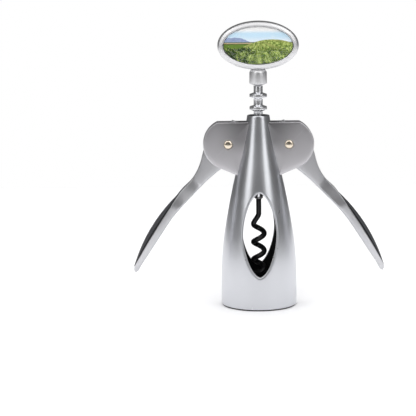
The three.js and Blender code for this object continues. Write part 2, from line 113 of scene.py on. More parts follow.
# %% Curves through a few chosen points
def spline(knots, values):
    """Natural cubic spline: a cubic on each span, with slope and bend continuous at the knots and
    no bend at the two ends. Returns a function that works on whole arrays."""
    x = np.asarray(knots, float)
    y = np.asarray(values, float).reshape(len(x), -1)
    h = np.diff(x)
    inner = np.arange(1, len(x) - 1)
    system = np.eye(len(x))
    system[inner, inner - 1] = h[:-1]
    system[inner, inner] = 2 * (h[:-1] + h[1:])
    system[inner, inner + 1] = h[1:]
    right = np.zeros_like(y)
    right[1:-1] = 6 * np.diff(np.diff(y, axis=0) / h[:, None], axis=0)
    bend = np.linalg.solve(system, right)

    def at(t):
        t = np.asarray(t, float)
        i = np.clip(np.searchsorted(x, t) - 1, 0, len(x) - 2)
        a, b = (x[i + 1] - t)[..., None], (t - x[i])[..., None]
        span = h[i][..., None]
        curve = (bend[i] * a**3 + bend[i + 1] * b**3) / (6 * span)
        curve += (y[i] / span - bend[i] * span / 6) * a
        curve += (y[i + 1] / span - bend[i + 1] * span / 6) * b
        return curve[..., 0] if y.shape[1] == 1 else curve
    return at


def smoothstep(low, high, value):
    """0 below low, 1 above high, and a cubic with flat ends between."""
    t = np.clip((np.asarray(value, float) - low) / (high - low), 0, 1)
    return t * t * (3 - 2 * t)


def round_profile(profile, radius, steps=5):
    """Rounds the corners of a profile: each one becomes a quadratic curve that starts and ends
    one radius away from it, or less where the profile's sides are short."""
    p = np.asarray(profile, float)
    before, after = p[:-2] - p[1:-1], p[2:] - p[1:-1]
    long_before = np.linalg.norm(before, axis=1, keepdims=True)
    long_after = np.linalg.norm(after, axis=1, keepdims=True)
    start = p[1:-1] + before / long_before * np.minimum(radius, long_before * 0.45)
    end = p[1:-1] + after / long_after * np.minimum(radius, long_after * 0.45)
    t = np.linspace(0, 1, steps)[None, :, None]
    curves = (1 - t) ** 2 * start[:, None] + 2 * t * (1 - t) * p[1:-1][:, None] + t**2 * end[:, None]
    return np.concatenate([p[:1], curves.reshape(-1, 2), p[-1:]])


def turned(profile, columns):
    """A [radius, height] profile carried round Z: x is radius times the sine of the angle, y is
    minus radius times its cosine."""
    p = np.asarray(profile, float)
    angle = np.linspace(-np.pi, np.pi, columns, endpoint=False)
    x = p[:, :1] * np.sin(angle)
    y = -p[:, :1] * np.cos(angle)
    z = np.repeat(p[:, 1:], columns, axis=1)
    return np.stack([x, y, z], axis=-1)


# %% [markdown]
# ## Finishes
# The castings are plated with a satin nickel, which is metal all over but not a mirror: tiny
# grains spread the reflections, and handling leaves the roughness slightly uneven. Two node
# groups are shared. One makes a fine grain for the bump and a slow mottle for roughness and
# shade. The other finds edges, which rub bright, and hollows, which hold dust. Each material
# places both with its own values; the plastic, the rubber and the worm's coating use them too.

# %% Node helpers
def put(tree, kind, settings=(), **sockets):
    """Adds a node, sets its properties, and fills or links the sockets that are named. A name
    such as i0 means an input's place, for nodes whose inputs share a name."""
    node = tree.nodes.new(kind)
    for key, value in dict(settings).items():
        setattr(node, key, value)
    for label, value in sockets.items():
        by_place = label[0] == "i" and label[1:].isdigit()
        socket = node.inputs[int(label[1:]) if by_place else label.replace("_", " ")]
        if isinstance(value, bpy.types.NodeSocket):
            tree.links.new(value, socket)
        else:
            socket.default_value = value
    return node


def calc(tree, operation, *values, clamp=False):
    """A Math node on one to three numbers or sockets."""
    sockets = {f"i{i}": value for i, value in enumerate(values)}
    settings = {"operation": operation, "use_clamp": clamp}
    return put(tree, "ShaderNodeMath", settings, **sockets).outputs[0]


def ramp(tree, value, low, high, start=0.0, end=1.0):
    """A smooth step from start to end while the value goes from low to high."""
    settings = {"interpolation_type": "SMOOTHSTEP"}
    return put(tree, "ShaderNodeMapRange", settings, Value=value, From_Min=low, From_Max=high,
               To_Min=start, To_Max=end).outputs[0]


def blend(tree, factor, first, second):
    """Two colours mixed by a factor."""
    colors = [c if isinstance(c, bpy.types.NodeSocket) else (*c, 1.0) for c in (first, second)]
    return put(tree, "ShaderNodeMix", {"data_type": "RGBA"}, i0=factor, i6=colors[0],
               i7=colors[1]).outputs[2]


def noise(tree, place, scale, detail=3.0):
    """Value of a noise texture, 0 to 1."""
    return put(tree, "ShaderNodeTexNoise", Vector=place, Scale=scale, Detail=detail,
               Roughness=0.6).outputs["Fac"]


# %% Two shared groups
def new_group(name, inputs, outputs):
    """An empty shader node group with named number inputs (name, value) and outputs."""
    group = bpy.data.node_groups.new(name, "ShaderNodeTree")
    for label, value in inputs:
        socket = group.interface.new_socket(label, in_out="INPUT", socket_type="NodeSocketFloat")
        socket.default_value = value
    for label in outputs:
        group.interface.new_socket(label, in_out="OUTPUT", socket_type="NodeSocketFloat")
    return group


def grain_group():
    """Noise at two sizes. The fine one is a height, the slow one moves roughness and shade."""
    inputs = [("Grain per metre", 6000.0), ("Mottle per metre", 60.0), ("Roughness", 0.3),
              ("Roughness spread", 0.05), ("Shade spread", 0.03)]
    group = new_group("Grain and mottle", inputs, ["Height", "Roughness", "Shade"])
    given = group.nodes.new("NodeGroupInput").outputs
    place = group.nodes.new("ShaderNodeTexCoord").outputs["Object"]
    fine = noise(group, place, given["Grain per metre"], 2.0)
    slow = noise(group, place, given["Mottle per metre"], 4.0)
    swing = calc(group, "SUBTRACT", slow, 0.5)
    rough = calc(group, "MULTIPLY_ADD", swing, given["Roughness spread"], given["Roughness"])
    both = calc(group, "ADD", swing, calc(group, "SUBTRACT", fine, 0.5))
    shade = calc(group, "MULTIPLY_ADD", both, given["Shade spread"], 1.0)
    put(group, "NodeGroupOutput", Height=fine, Roughness=rough, Shade=shade)
    return group


def edge_group():
    """Edges and hollows from how pointed the surface is, broken up by a noise so that neither
    is an even line."""
    inputs = [("Edge start", 0.52), ("Edge end", 0.60), ("Hollow start", 0.48),
              ("Hollow end", 0.40), ("Breaks per metre", 900.0)]
    group = new_group("Edges and hollows", inputs, ["Edge", "Hollow"])
    given = group.nodes.new("NodeGroupInput").outputs
    place = group.nodes.new("ShaderNodeTexCoord").outputs["Object"]
    pointed = group.nodes.new("ShaderNodeNewGeometry").outputs["Pointiness"]
    broken = noise(group, place, given["Breaks per metre"])
    keep = ramp(group, broken, 0.3, 0.6, 0.45, 1.0)
    edge = ramp(group, pointed, given["Edge start"], given["Edge end"])
    hollow = ramp(group, pointed, given["Hollow start"], given["Hollow end"])
    put(group, "NodeGroupOutput", Edge=calc(group, "MULTIPLY", edge, keep),
        Hollow=calc(group, "MULTIPLY", hollow, keep))
    return group


GRAIN = grain_group()
EDGES = edge_group()
for made in (GRAIN, EDGES):
    print(made.name, "gives", [s.name for s in made.interface.items_tree if s.in_out == "OUTPUT"])


# %% Plated metal, plastic and rubber
NECK_SHADE_X = (25, 7)
NECK_SHADE_Z = (84, 94)


def painted_neck_shade(tree):
    """Painted shade mask: 1 in the corner between neck and cheek tops, and 0 outside."""
    place = put(tree, "ShaderNodeSeparateXYZ",
                Vector=tree.nodes.new("ShaderNodeTexCoord").outputs["Object"]).outputs
    inner = ramp(tree, calc(tree, "ABSOLUTE", place["X"]), *(v * MM for v in NECK_SHADE_X))
    upper = ramp(tree, place["Z"], *(v * MM for v in NECK_SHADE_Z))
    return calc(tree, "MULTIPLY", inner, upper)


def finish(name, color, metallic, roughness, grain=6000.0, mottle=60.0, spread=0.06,
           shade=0.04, bump=0.1, depth=0.01, edge=(0.9, 0.9, 0.92), wear=0.5, dust=0.4,
           neck_shade=0.0):
    """Principled surface. Its colour is a tint times the group's shade, rubbed towards the edge
    colour on edges, darkened in hollows for dust, and darkened by painted shade in the corner by
    the neck where neck_shade is set; edges are also a little smoother."""
    material = bpy.data.materials.new(name)
    material.use_nodes = True
    tree = material.node_tree
    shader = tree.nodes["Principled BSDF"]
    texture = put(tree, "ShaderNodeGroup", {"node_tree": GRAIN})
    values = {"Grain per metre": grain, "Mottle per metre": mottle, "Roughness": roughness,
              "Roughness spread": spread, "Shade spread": shade}
    for label, value in values.items():
        texture.inputs[label].default_value = value
    worn = put(tree, "ShaderNodeGroup", {"node_tree": EDGES})
    tint = put(tree, "ShaderNodeVectorMath", {"operation": "SCALE"}, i0=color,
               Scale=texture.outputs["Shade"]).outputs["Vector"]
    rubbed = blend(tree, calc(tree, "MULTIPLY", worn.outputs["Edge"], wear), tint, edge)
    dim = tuple(0.35 * c for c in color)
    dust_and_shade = calc(tree, "MULTIPLY", worn.outputs["Hollow"], dust)
    # Painted shade: the corner by the neck is darkened with the same dark colour as the dust.
    if neck_shade:
        dust_and_shade = calc(tree, "MAXIMUM", dust_and_shade, calc(tree, "MULTIPLY", painted_neck_shade(tree), neck_shade))
    dust_and_shade_color = blend(tree, dust_and_shade, rubbed, dim)
    smoother = calc(tree, "MULTIPLY", worn.outputs["Edge"], -0.06)
    rough = calc(tree, "ADD", texture.outputs["Roughness"], smoother, clamp=True)
    normal = put(tree, "ShaderNodeBump", Strength=bump, Distance=depth * MM,
                 Height=texture.outputs["Height"]).outputs["Normal"]
    for value, label in ((dust_and_shade_color, "Base Color"), (rough, "Roughness"), (normal, "Normal")):
        tree.links.new(value, shader.inputs[label])
    shader.inputs["Metallic"].default_value = metallic
    return material


SATIN_NICKEL = finish("satin_nickel", (0.645, 0.655, 0.685), 1.0, 0.30, grain=5000.0, bump=0.25)
# Painted shade: the cheeks share the bell's plating but get a darker copy of its nickel, plus
# painted shade by the neck.
SHADED_CHEEK_NICKEL = finish("satin_nickel_cheek_shaded", (0.55, 0.54, 0.56), 1.0, 0.38, grain=4200.0,
                      bump=0.35, mottle=110.0, wear=0.1, neck_shade=0.7)
LEVER_NICKEL = finish("satin_nickel_lever", (0.58, 0.58, 0.60), 1.0, 0.34, grain=4200.0,
                      bump=0.35, mottle=90.0)
HANDLE_NICKEL = finish("satin_nickel_handle", (0.70, 0.70, 0.71), 1.0, 0.40, grain=5000.0,
                       bump=0.25, mottle=120.0)
BRIGHT_NICKEL = finish("bright_nickel", (0.78, 0.785, 0.81), 1.0, 0.27, grain=7000.0,
                       bump=0.12, mottle=150.0)
PALE_BRASS = finish("pale_brass", (0.78, 0.69, 0.56), 1.0, 0.20, grain=7000.0, bump=0.1,
                    mottle=300.0, edge=(0.95, 0.88, 0.75))
BLACK_PLASTIC = finish("black_plastic", (0.012, 0.012, 0.013), 0.0, 0.36, grain=3000.0,
                       mottle=90.0, spread=0.12, shade=0.3, bump=0.3, depth=0.02,
                       edge=(0.05, 0.05, 0.05), wear=0.4)
GRIP_RUBBER = finish("grip_rubber", (0.042, 0.042, 0.047), 0.0, 0.55, grain=2600.0,
                     mottle=120.0, spread=0.1, shade=0.3, bump=0.6, depth=0.03,
                     edge=(0.12, 0.12, 0.13), wear=0.5)
WORM_COATING = finish("worm_coating", (0.005, 0.005, 0.006), 0.0, 0.42, grain=3500.0,
                      mottle=150.0, spread=0.14, shade=0.4, bump=0.3, depth=0.02,
                      edge=(0.03, 0.03, 0.03), wear=0.4)


def paint_shade_on_sides(material, color):
    """Painted shade: mixes in a dark colour where the surface faces along the piece's own Y, on the
    steep sides.
    """
    tree = material.node_tree
    target = tree.nodes["Principled BSDF"].inputs["Base Color"]
    facing = put(tree, "ShaderNodeSeparateXYZ",
                 Vector=tree.nodes.new("ShaderNodeTexCoord").outputs["Normal"]).outputs["Y"]
    shaded_side = ramp(tree, calc(tree, "ABSOLUTE", facing), 0.72, 0.95)
    tree.links.new(blend(tree, shaded_side, target.links[0].from_socket, color), target)


# Painted shade on the steep sides of the soft pads.
paint_shade_on_sides(GRIP_RUBBER, (0.004, 0.004, 0.006))
print("plated, moulded and coated finishes:", len(bpy.data.materials))


# %% The printed landscape
OVAL_Z = 144.9
WHITE = (1.0, 1.0, 1.0)
SKY_HAZE, SKY_BLUE = (0.86, 0.93, 1.0), (0.62, 0.84, 1.0)
HILLS_DARK, HILLS_LIGHT = (0.20, 0.26, 0.48), (0.46, 0.54, 0.72)
HEDGE, TAN_STRIP = (0.09, 0.17, 0.10), (0.60, 0.44, 0.27)
FIELD_DARK, FIELD_LIGHT = (0.05, 0.11, 0.02), (0.14, 0.24, 0.04)
LEAF_DARK, LEAF_LIGHT, LEAF_PLAIN = (0.07, 0.15, 0.02), (0.56, 0.68, 0.20), (0.27, 0.34, 0.08)
PATH_FAR, PATH_NEAR = (0.42, 0.44, 0.14), (0.10, 0.16, 0.03)
DEEP_SHADE = (0.012, 0.035, 0.008)
ROWS_MEET = (-0.3, 3.5)
CREST = (7.5, 3.3)
CREST_BEND = -0.016


def landscape_axes(tree):
    """Millimetres across and up from the middle of the oval, from the piece's own coordinates.
    Every place and height on the print is given in them."""
    place = put(tree, "ShaderNodeMapping", {"vector_type": "POINT"},
                Vector=tree.nodes.new("ShaderNodeTexCoord").outputs["Object"],
                Location=(0, 0, -OVAL_Z), Scale=(1 / MM, 1 / MM, 1 / MM)).outputs["Vector"]
    split = put(tree, "ShaderNodeSeparateXYZ", Vector=place)
    return place, split.outputs["X"], split.outputs["Z"]


def landscape_sky(tree, place, up):
    """White at the top, pale blue in the middle, hazy at the horizon, with thin cloud."""
    blue = blend(tree, ramp(tree, up, 1.5, 5.5), SKY_HAZE, SKY_BLUE)
    high = blend(tree, ramp(tree, up, 6.3, 8.6), blue, WHITE)
    cloud = ramp(tree, noise(tree, place, 0.22, 4.0), 0.5, 0.75, 0.0, 0.5)
    return blend(tree, cloud, high, WHITE)


def landscape_distance(tree, place, across, up, bumpy_up):
    """The sky, and in front of it blue hills on the left, a tan strip and the fields."""
    ridge = calc(tree, "SUBTRACT", bumpy_up, ramp(tree, across, -11.0, -1.5, 4.3, 1.2))
    hills = blend(tree, noise(tree, place, 0.8), HILLS_DARK, HILLS_LIGHT)
    color = blend(tree, ramp(tree, ridge, 0.15, -0.15), landscape_sky(tree, place, up), hills)
    strip = blend(tree, ramp(tree, up, 1.75, 1.25), HEDGE, TAN_STRIP)
    color = blend(tree, ramp(tree, up, 1.95, 1.85), color, strip)
    field = blend(tree, ramp(tree, up, 0.75, 0.35), FIELD_DARK, FIELD_LIGHT)
    return blend(tree, ramp(tree, up, 1.05, 0.85), color, field)


def landscape_vines(tree, place, across, up):
    """Speckled leaves from cells and a noise, gathered into faint rows that fan out from a
    point on the hill: the rows are stripes of the angle seen from that point."""
    leaf = put(tree, "ShaderNodeTexVoronoi", Vector=place, Scale=0.9).outputs["Distance"]
    clump = noise(tree, place, 0.55, 5.0)
    fine = noise(tree, place, 1.05, 4.0)
    below = calc(tree, "SUBTRACT", ROWS_MEET[1], up)
    angle = calc(tree, "ARCTAN2", calc(tree, "SUBTRACT", across, ROWS_MEET[0]), below)
    stripe = calc(tree, "SINE", calc(tree, "MULTIPLY_ADD", angle, 15.0, 0.6))
    ragged = calc(tree, "ADD", stripe, calc(tree, "MULTIPLY", fine, 0.9))
    lit = blend(tree, ramp(tree, fine, 0.43, 0.58), LEAF_DARK, LEAF_LIGHT)
    leafy = blend(tree, ramp(tree, leaf, 0.3, 1.0), lit, LEAF_PLAIN)
    near = ramp(tree, up, 0.5, -3.0)
    path = blend(tree, near, PATH_FAR, PATH_NEAR)
    rowed = blend(tree, ramp(tree, ragged, -0.6, 1.0, 0.3, 1.0), path, leafy)
    left = ramp(tree, across, 0.0, -10.0, 0.0, 0.12)
    shadow = calc(tree, "ADD", calc(tree, "MULTIPLY_ADD", near, 0.08, clump), left)
    return blend(tree, ramp(tree, shadow, 0.60, 0.72, 0.0, 0.9), rowed, DEEP_SHADE)


def on_vineyard(tree, across, up, bumpy_up, rough_line):
    """1 on the vineyard and 0 off it. It lies under a crest that falls away with the square of
    the distance from its top, and under a slope that runs on down to the left."""
    aside = calc(tree, "POWER", calc(tree, "SUBTRACT", across, CREST[0]), 2.0)
    crest = calc(tree, "ADD", calc(tree, "MULTIPLY", aside, CREST_BEND), CREST[1])
    over = calc(tree, "SUBTRACT", calc(tree, "MULTIPLY_ADD", rough_line, -0.25, up), crest)
    slope = calc(tree, "MULTIPLY_ADD", across, 0.05, calc(tree, "ADD", bumpy_up, 1.6))
    return calc(tree, "MAXIMUM", ramp(tree, over, 0.12, -0.12), ramp(tree, slope, -0.2, -0.6))


def landscape_material():
    """A matt print: the distance, and the vineyard hill in front of it."""
    material = bpy.data.materials.new("printed_landscape")
    material.use_nodes = True
    tree = material.node_tree
    place, across, up = landscape_axes(tree)
    rough_line = calc(tree, "MULTIPLY", calc(tree, "SUBTRACT", noise(tree, place, 0.9), 0.5), 1.2)
    bumpy_up = calc(tree, "SUBTRACT", up, rough_line)
    color = blend(tree, on_vineyard(tree, across, up, bumpy_up, rough_line),
                  landscape_distance(tree, place, across, up, bumpy_up),
                  landscape_vines(tree, place, across, up))
    shader = tree.nodes["Principled BSDF"]
    tree.links.new(color, shader.inputs["Base Color"])
    shader.inputs["Roughness"].default_value = 0.5
    shader.inputs["Specular IOR Level"].default_value = 0.1
    return material


# %% The clear resin
def clear_material():
    """Clear resin that lets light through to the print: rays that only test for shadow, or
    that are already scattered, go straight through it. Cast resin has no air gap behind it, so
    it reflects less than a loose lens; the low index stands for that."""
    material = bpy.data.materials.new("clear_resin")
    material.use_nodes = True
    tree = material.node_tree
    resin = tree.nodes["Principled BSDF"]
    place = tree.nodes.new("ShaderNodeTexCoord").outputs["Object"]
    smears = ramp(tree, noise(tree, place, 350.0), 0.4, 0.8, 0.02, 0.07)
    tree.links.new(smears, resin.inputs["Roughness"])
    resin.inputs["IOR"].default_value = 1.2
    resin.inputs["Metallic"].default_value = 0.0
    resin.inputs["Transmission Weight"].default_value = 1.0
    ray = tree.nodes.new("ShaderNodeLightPath").outputs
    through = calc(tree, "MAXIMUM", ray["Is Shadow Ray"], ray["Is Diffuse Ray"])
    open_air = tree.nodes.new("ShaderNodeBsdfTransparent").outputs["BSDF"]
    mixed = put(tree, "ShaderNodeMixShader", i0=through, i1=resin.outputs["BSDF"], i2=open_air)
    tree.links.new(mixed.outputs[0], tree.nodes["Material Output"].inputs["Surface"])
    return material


PICTURE_PRINT = landscape_material()
CLEAR_RESIN = clear_material()
print("materials made:", [m.name for m in bpy.data.materials][-2:])

# %% [markdown]
# ## The bell
# The bell is a zinc casting, shaped like the shoulder and neck of a bottle, with a wall of about
# 2 mm and a window on each side to watch the cork. It could be a revolved profile with a hole cut
# by a boolean, but a cut leaves a hard edge and long thin faces that show in the reflections.
# Here the wall round each window is its own grid: one direction goes round the opening, the other
# goes from the opening out to a plain frame that fits the turned rows above and below. Only the
# slots for the gears, which hide between the cheeks, are cut.

# %% Sizes of the bell
NODE = {name: [np.array(corner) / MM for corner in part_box(name)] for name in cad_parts}
BELL_FOOT = NODE["bell_housing"][0][2]
BELL_TOP = NODE["bell_housing"][1][2]
WALL = 1.8
NECK_BORE = 5.45
bell_radius = spline([BELL_FOOT, 15, 27, 40, 53.5, 67.5, 80.5, 91.5, 101, BELL_TOP],
                     [21.05, 21.0, 20.6, 19.3, 17.0, 14.2, 11.1, 8.6, 7.0, 6.15])
WINDOW_Z = 41.8
WINDOW_HALF_WIDTH = 9.2
WINDOW_HALF_HEIGHT = 22.8
WINDOW_POWER = 1.7
print("bell radius at foot, middle and top:", bell_radius(np.array([BELL_FOOT, 53.0, BELL_TOP])))


# %% A turned shell with two windows
def window_outline(direction_x, direction_z, grow):
    """The superellipse |x/a|^p + |z/b|^p = 1, met along given directions from its centre, and
    then moved outwards along its own normal by grow."""
    a, b, p = WINDOW_HALF_WIDTH, WINDOW_HALF_HEIGHT, WINDOW_POWER
    reach = (np.abs(direction_x / a) ** p + np.abs(direction_z / b) ** p) ** (-1 / p)
    x, z = direction_x * reach, direction_z * reach
    normal = np.stack([np.sign(x) * np.abs(x / a) ** (p - 1) / a,
                       np.sign(z) * np.abs(z / b) ** (p - 1) / b])
    normal /= np.linalg.norm(normal, axis=0)
    return x + grow * normal[0], WINDOW_Z + z + grow * normal[1]


def frame_edge(low, high, columns, rows):
    """The frame round a window, as angle and height, once round: along the top, down the right,
    back along the bottom and up the left."""
    across = np.linspace(-np.pi / 2, np.pi / 2, columns + 1)
    up = np.linspace(low, high, rows + 1)
    angle = np.concatenate([across[:-1], np.full(rows, np.pi / 2),
                            across[:0:-1], np.full(rows, -np.pi / 2)])
    height = np.concatenate([np.full(columns, high), up[:0:-1],
                             np.full(columns, low), up[:-1]])
    return angle, height


def on_shell(radius, angle, height, depth=0.0):
    """Points of a turned surface facing -Y at angle 0, pushed in along Y by a depth."""
    r = radius(height)
    return np.stack([r * np.sin(angle), depth - r * np.cos(angle), height], axis=-1)


def around_window(radius, inner_radius, frame_z, lip, columns=96, rows=84, rings=22):
    """Grid from the frame over the outside to the opening, through the wall by the rows of the
    lip, and back over the inside. A lip row is (distance outside the opening, depth)."""
    angle, height = frame_edge(*frame_z, columns, rows)
    toward = angle * radius(WINDOW_Z), height - WINDOW_Z
    shares = np.linspace(0, 1, rings)[:, None] ** 1.5

    def spread(r, grow):
        x, z = window_outline(*toward, grow)
        turn = np.arcsin(x / r(z))
        return on_shell(r, turn + (angle - turn) * shares, z + (height - z) * shares)

    def lip_row(grow, depth):
        x, z = window_outline(*toward, grow)
        return on_shell(radius, np.arcsin(x / radius(z)), z, depth)

    outside = spread(radius, lip[0][0])[::-1]
    through = np.stack([lip_row(grow, depth) for grow, depth in lip[1:]])
    return np.concatenate([outside, through, spread(inner_radius, lip[-1][0])])


def mirrored(grid, *signs):
    """The same grid, with its x, y and z each multiplied by 1 or -1."""
    return grid * np.array(signs, float)


# %% The bell's body
def bell_inner(z):
    """Inside radius: the wall's thickness less than the outside, but never under the bore."""
    return np.maximum(NECK_BORE, bell_radius(z) - WALL)


BELL_FRAME = (12.0, 71.0)
LIP_WIDTH = 1.25
LIP_DROP = 0.75
roll = np.linspace(0, np.pi / 2, 8)
rolled = np.stack([LIP_WIDTH * 0.94 * (1 - np.sin(roll)), LIP_DROP * (1 - np.cos(roll))], axis=1)
bell_lip = [(LIP_WIDTH + 0.12, 0.0), (LIP_WIDTH + 0.03, 0.12), (LIP_WIDTH - 0.05, 0.05),
            *rolled, (0.0, LIP_DROP + 0.3), (0.0, LIP_DROP + 0.6)]


def bell_ends():
    """Profiles of the rim under the windows and of the neck above them, each from outside to
    inside. Their long sides follow the outline and their ends are rounded."""
    low = np.linspace(BELL_FRAME[0], BELL_FOOT + 0.5, 10)
    high = np.linspace(BELL_FRAME[1], BELL_TOP - 0.4, 44)
    foot = [[20.99, BELL_FOOT + 0.2], [20.82, BELL_FOOT], [19.4, BELL_FOOT]]
    top = [[6.10, BELL_TOP - 0.16], [5.95, BELL_TOP - 0.03], [5.8, BELL_TOP],
           [NECK_BORE + 0.1, BELL_TOP], [NECK_BORE, BELL_TOP - 0.1]]
    rim = np.concatenate([np.stack([bell_radius(low), low], axis=1), foot,
                          np.stack([bell_inner(low[::-1]), low[::-1]], axis=1)])
    neck = np.concatenate([np.stack([bell_radius(high), high], axis=1), top,
                           np.stack([bell_inner(high[::-1]), high[::-1]], axis=1)])
    return rim, neck


def cut_away(piece, cutters):
    """Takes the cutters' volume out of a piece for good, and removes the cutters."""
    for cutter in cutters:
        modifier = piece.modifiers.new("cut", "BOOLEAN")
        modifier.object = cutter
        modifier.solver = "EXACT"
    shapes = bpy.context.evaluated_depsgraph_get()
    mesh = bpy.data.meshes.new_from_object(piece.evaluated_get(shapes))
    piece.modifiers.clear()
    piece.data = mesh
    mesh.shade_smooth()
    mesh.set_sharp_from_angle(angle=math.radians(35))
    for cutter in cutters:
        bpy.data.objects.remove(cutter)


PIVOT = np.array([16.83, 90.5])
SLOT_HALF = 2.85
SWEEP_RADIUS = 14.58


def slot_cutter(side):
    """Disc as wide as the gear's sweep and as thick as the gap between two cheeks."""
    profile = [[0, -SLOT_HALF], [SWEEP_RADIUS, -SLOT_HALF], [SWEEP_RADIUS, SLOT_HALF],
               [0, SLOT_HALF]]
    disc = turned(profile, 96)[..., [0, 2, 1]]
    place = disc + [side * PIVOT[0], 0, PIVOT[1]]
    return piece_from_grids(f"slot_{side}", [(place * MM, False, True)])


window_grid = around_window(bell_radius, bell_inner, BELL_FRAME, bell_lip) * MM
rim_profile, neck_profile = bell_ends()
bell = piece_from_grids("bell_body", [
    (window_grid, False, True),
    (mirrored(window_grid, 1, -1, 1), False, True),
    (turned(rim_profile, 192) * MM, False, True),
    (turned(neck_profile, 192) * MM, False, True),
])
cut_away(bell, [slot_cutter(-1), slot_cutter(1)])
settle(bell, "bell", "bell_housing", SATIN_NICKEL)

# %% [markdown]
# ## The cheeks
# A pair of plates on each side of the neck carries a rivet. They are cast with the bell, and
# tumbling leaves their faces very slightly domed and a thin bright line round them. A plate is a
# grid too: one direction goes round, the other goes from the hole, up the recess for the rivet
# head, across the face, over the bevelled edge and back behind. The geared hub of a lever is made
# the same way.

# %% Plates with a hole
def resampled(outline, count):
    """The closed outline again, with points at equal distances along it."""
    closed = np.concatenate([outline, outline[:1]])
    along = np.concatenate([[0], np.cumsum(np.linalg.norm(np.diff(closed, axis=0), axis=1))])
    wanted = np.linspace(0, along[-1], count, endpoint=False)
    return np.stack([np.interp(wanted, along, closed[:, i]) for i in (0, 1)], axis=1)


def pierced_plate(outline, centre, rows):
    """Grid of a plate in X-Z. A row is (kind, size, y): a "ring" is a circle of that size about
    the centre, an "edge" is the outline moved inwards by that size, and a "part" is a share of
    the way from the centre to the outline. All are at depth y."""
    tangent = np.roll(outline, -1, axis=0) - np.roll(outline, 1, axis=0)
    inward = np.stack([-tangent[:, 1], tangent[:, 0]], axis=1)
    inward /= np.linalg.norm(inward, axis=1, keepdims=True)
    if np.sum(inward * (centre - outline)) < 0:
        inward = -inward
    angle = np.arctan2(outline[:, 1] - centre[1], outline[:, 0] - centre[0])
    ring = np.stack([np.cos(angle), np.sin(angle)], axis=1)
    made = {"ring": lambda size: centre + size * ring,
            "edge": lambda size: outline + size * inward,
            "part": lambda share: centre + share * (outline - centre)}
    flat = np.array([made[kind](size) for kind, size, _ in rows])
    depth = np.array([y for _, _, y in rows])[:, None] * np.ones(len(outline))
    return np.stack([flat[..., 0], depth, flat[..., 1]], axis=-1)


CHEEK_RADIUS = 13.8
CHEEK_TOP = BELL_TOP - 3.5
CHEEK_SLOPE = math.radians(23)
CHEEK_FACE = 4.75
RECESS_RADIUS = 3.0
RECESS_FLOOR = 3.85
RIVET_HOLE = 1.7


def cheek_outline():
    """Flat top, round end about the pivot, straight lower edge that touches the round end, and
    a root that stays inside the wall of the bell."""
    flat_end = math.acos((CHEEK_TOP - PIVOT[1]) / CHEEK_RADIUS)
    arc = np.linspace(np.pi / 2 - flat_end, CHEEK_SLOPE - np.pi / 2, 90)
    end = PIVOT + CHEEK_RADIUS * np.stack([np.cos(arc), np.sin(arc)], axis=1)
    root_x = 10.9
    root_z = end[-1, 1] - (end[-1, 0] - root_x) * math.tan(CHEEK_SLOPE)
    corners = np.concatenate([[[4.7, CHEEK_TOP]], end, [[root_x, root_z]]])
    return resampled(round_profile(corners, 1.5, 6), 360)


cheek_rows = [
    ("ring", RIVET_HOLE, -RECESS_FLOOR), ("ring", 2.85, -RECESS_FLOOR),
    ("ring", RECESS_RADIUS, -RECESS_FLOOR - 0.12), ("ring", RECESS_RADIUS, -CHEEK_FACE + 0.12),
    ("ring", RECESS_RADIUS + 0.12, -CHEEK_FACE), ("ring", RECESS_RADIUS + 0.3, -CHEEK_FACE),
    ("part", 0.45, -CHEEK_FACE + 0.02), ("part", 0.65, -CHEEK_FACE + 0.07),
    ("part", 0.82, -CHEEK_FACE + 0.16), ("edge", 0.8, -CHEEK_FACE + 0.26),
    ("edge", 0.34, -CHEEK_FACE + 0.36), ("edge", 0.12, -CHEEK_FACE + 0.5),
    ("edge", 0.0, -CHEEK_FACE + 0.75),
    ("edge", 0.0, -SLOT_HALF - 0.2), ("edge", 0.2, -SLOT_HALF), ("ring", RIVET_HOLE, -SLOT_HALF),
]
cheek_grid = pierced_plate(cheek_outline(), PIVOT, cheek_rows) * MM
for side_name, side in (("right", 1), ("left", -1)):
    cheeks = piece_from_grids(f"cheeks_{side_name}", [
        (mirrored(cheek_grid, side, 1, 1), True, True),
        (mirrored(cheek_grid, side, -1, 1), True, True),
    ], crisp_degrees=40)
    settle(cheeks, "bell", "bell_housing", SHADED_CHEEK_NICKEL)

# %% [markdown]
# ## Rivets
# Each lever turns on a rivet with a domed nickel-brass head at both ends, sunk in the recess of
# each cheek. A rivet is turned about its own length.

# %% Rivets
RIVET_CROWN = NODE["pivot_rivet_right"][1][1]
RIVET_SEAT = RIVET_CROWN - 1.0
RIVET_HEAD = 2.4
RIVET_SHANK = 1.6


def rivet_profile():
    """Half a rivet from the crown of its elliptical dome to the middle of the shank, and the
    same again mirrored."""
    dome = np.linspace(0, np.pi / 2, 14)
    rise = RIVET_SEAT + 0.12 + (RIVET_CROWN - RIVET_SEAT - 0.12) * np.cos(dome)
    head = np.stack([RIVET_HEAD * np.sin(dome), rise], axis=1)
    neck = [[RIVET_HEAD, RIVET_SEAT + 0.06], [RIVET_HEAD - 0.08, RIVET_SEAT],
            [RIVET_SHANK, RIVET_SEAT], [RIVET_SHANK, 0.0]]
    half = np.concatenate([head, neck])
    return np.concatenate([half, (half * [1, -1])[-2::-1]])


rivet_grid = turned(rivet_profile(), 64)[..., [0, 2, 1]]
for side_name, side in (("right", 1), ("left", -1)):
    place = rivet_grid + [side * PIVOT[0], 0, PIVOT[1]]
    rivet = piece_from_grids(f"rivet_{side_name}", [(place * MM, False, True)])
    settle(rivet, "bell", f"pivot_rivet_{side_name}", PALE_BRASS)

# %% [markdown]
# ## Black plastic parts
# A moulded guide lines the bell. Its flange is the foot that the corkscrew stands on, a ledge
# inside stops on the lip of the bottle, and its windows follow the bell's. A small bush in the
# top of the neck keeps the ringed sleeve off the metal.

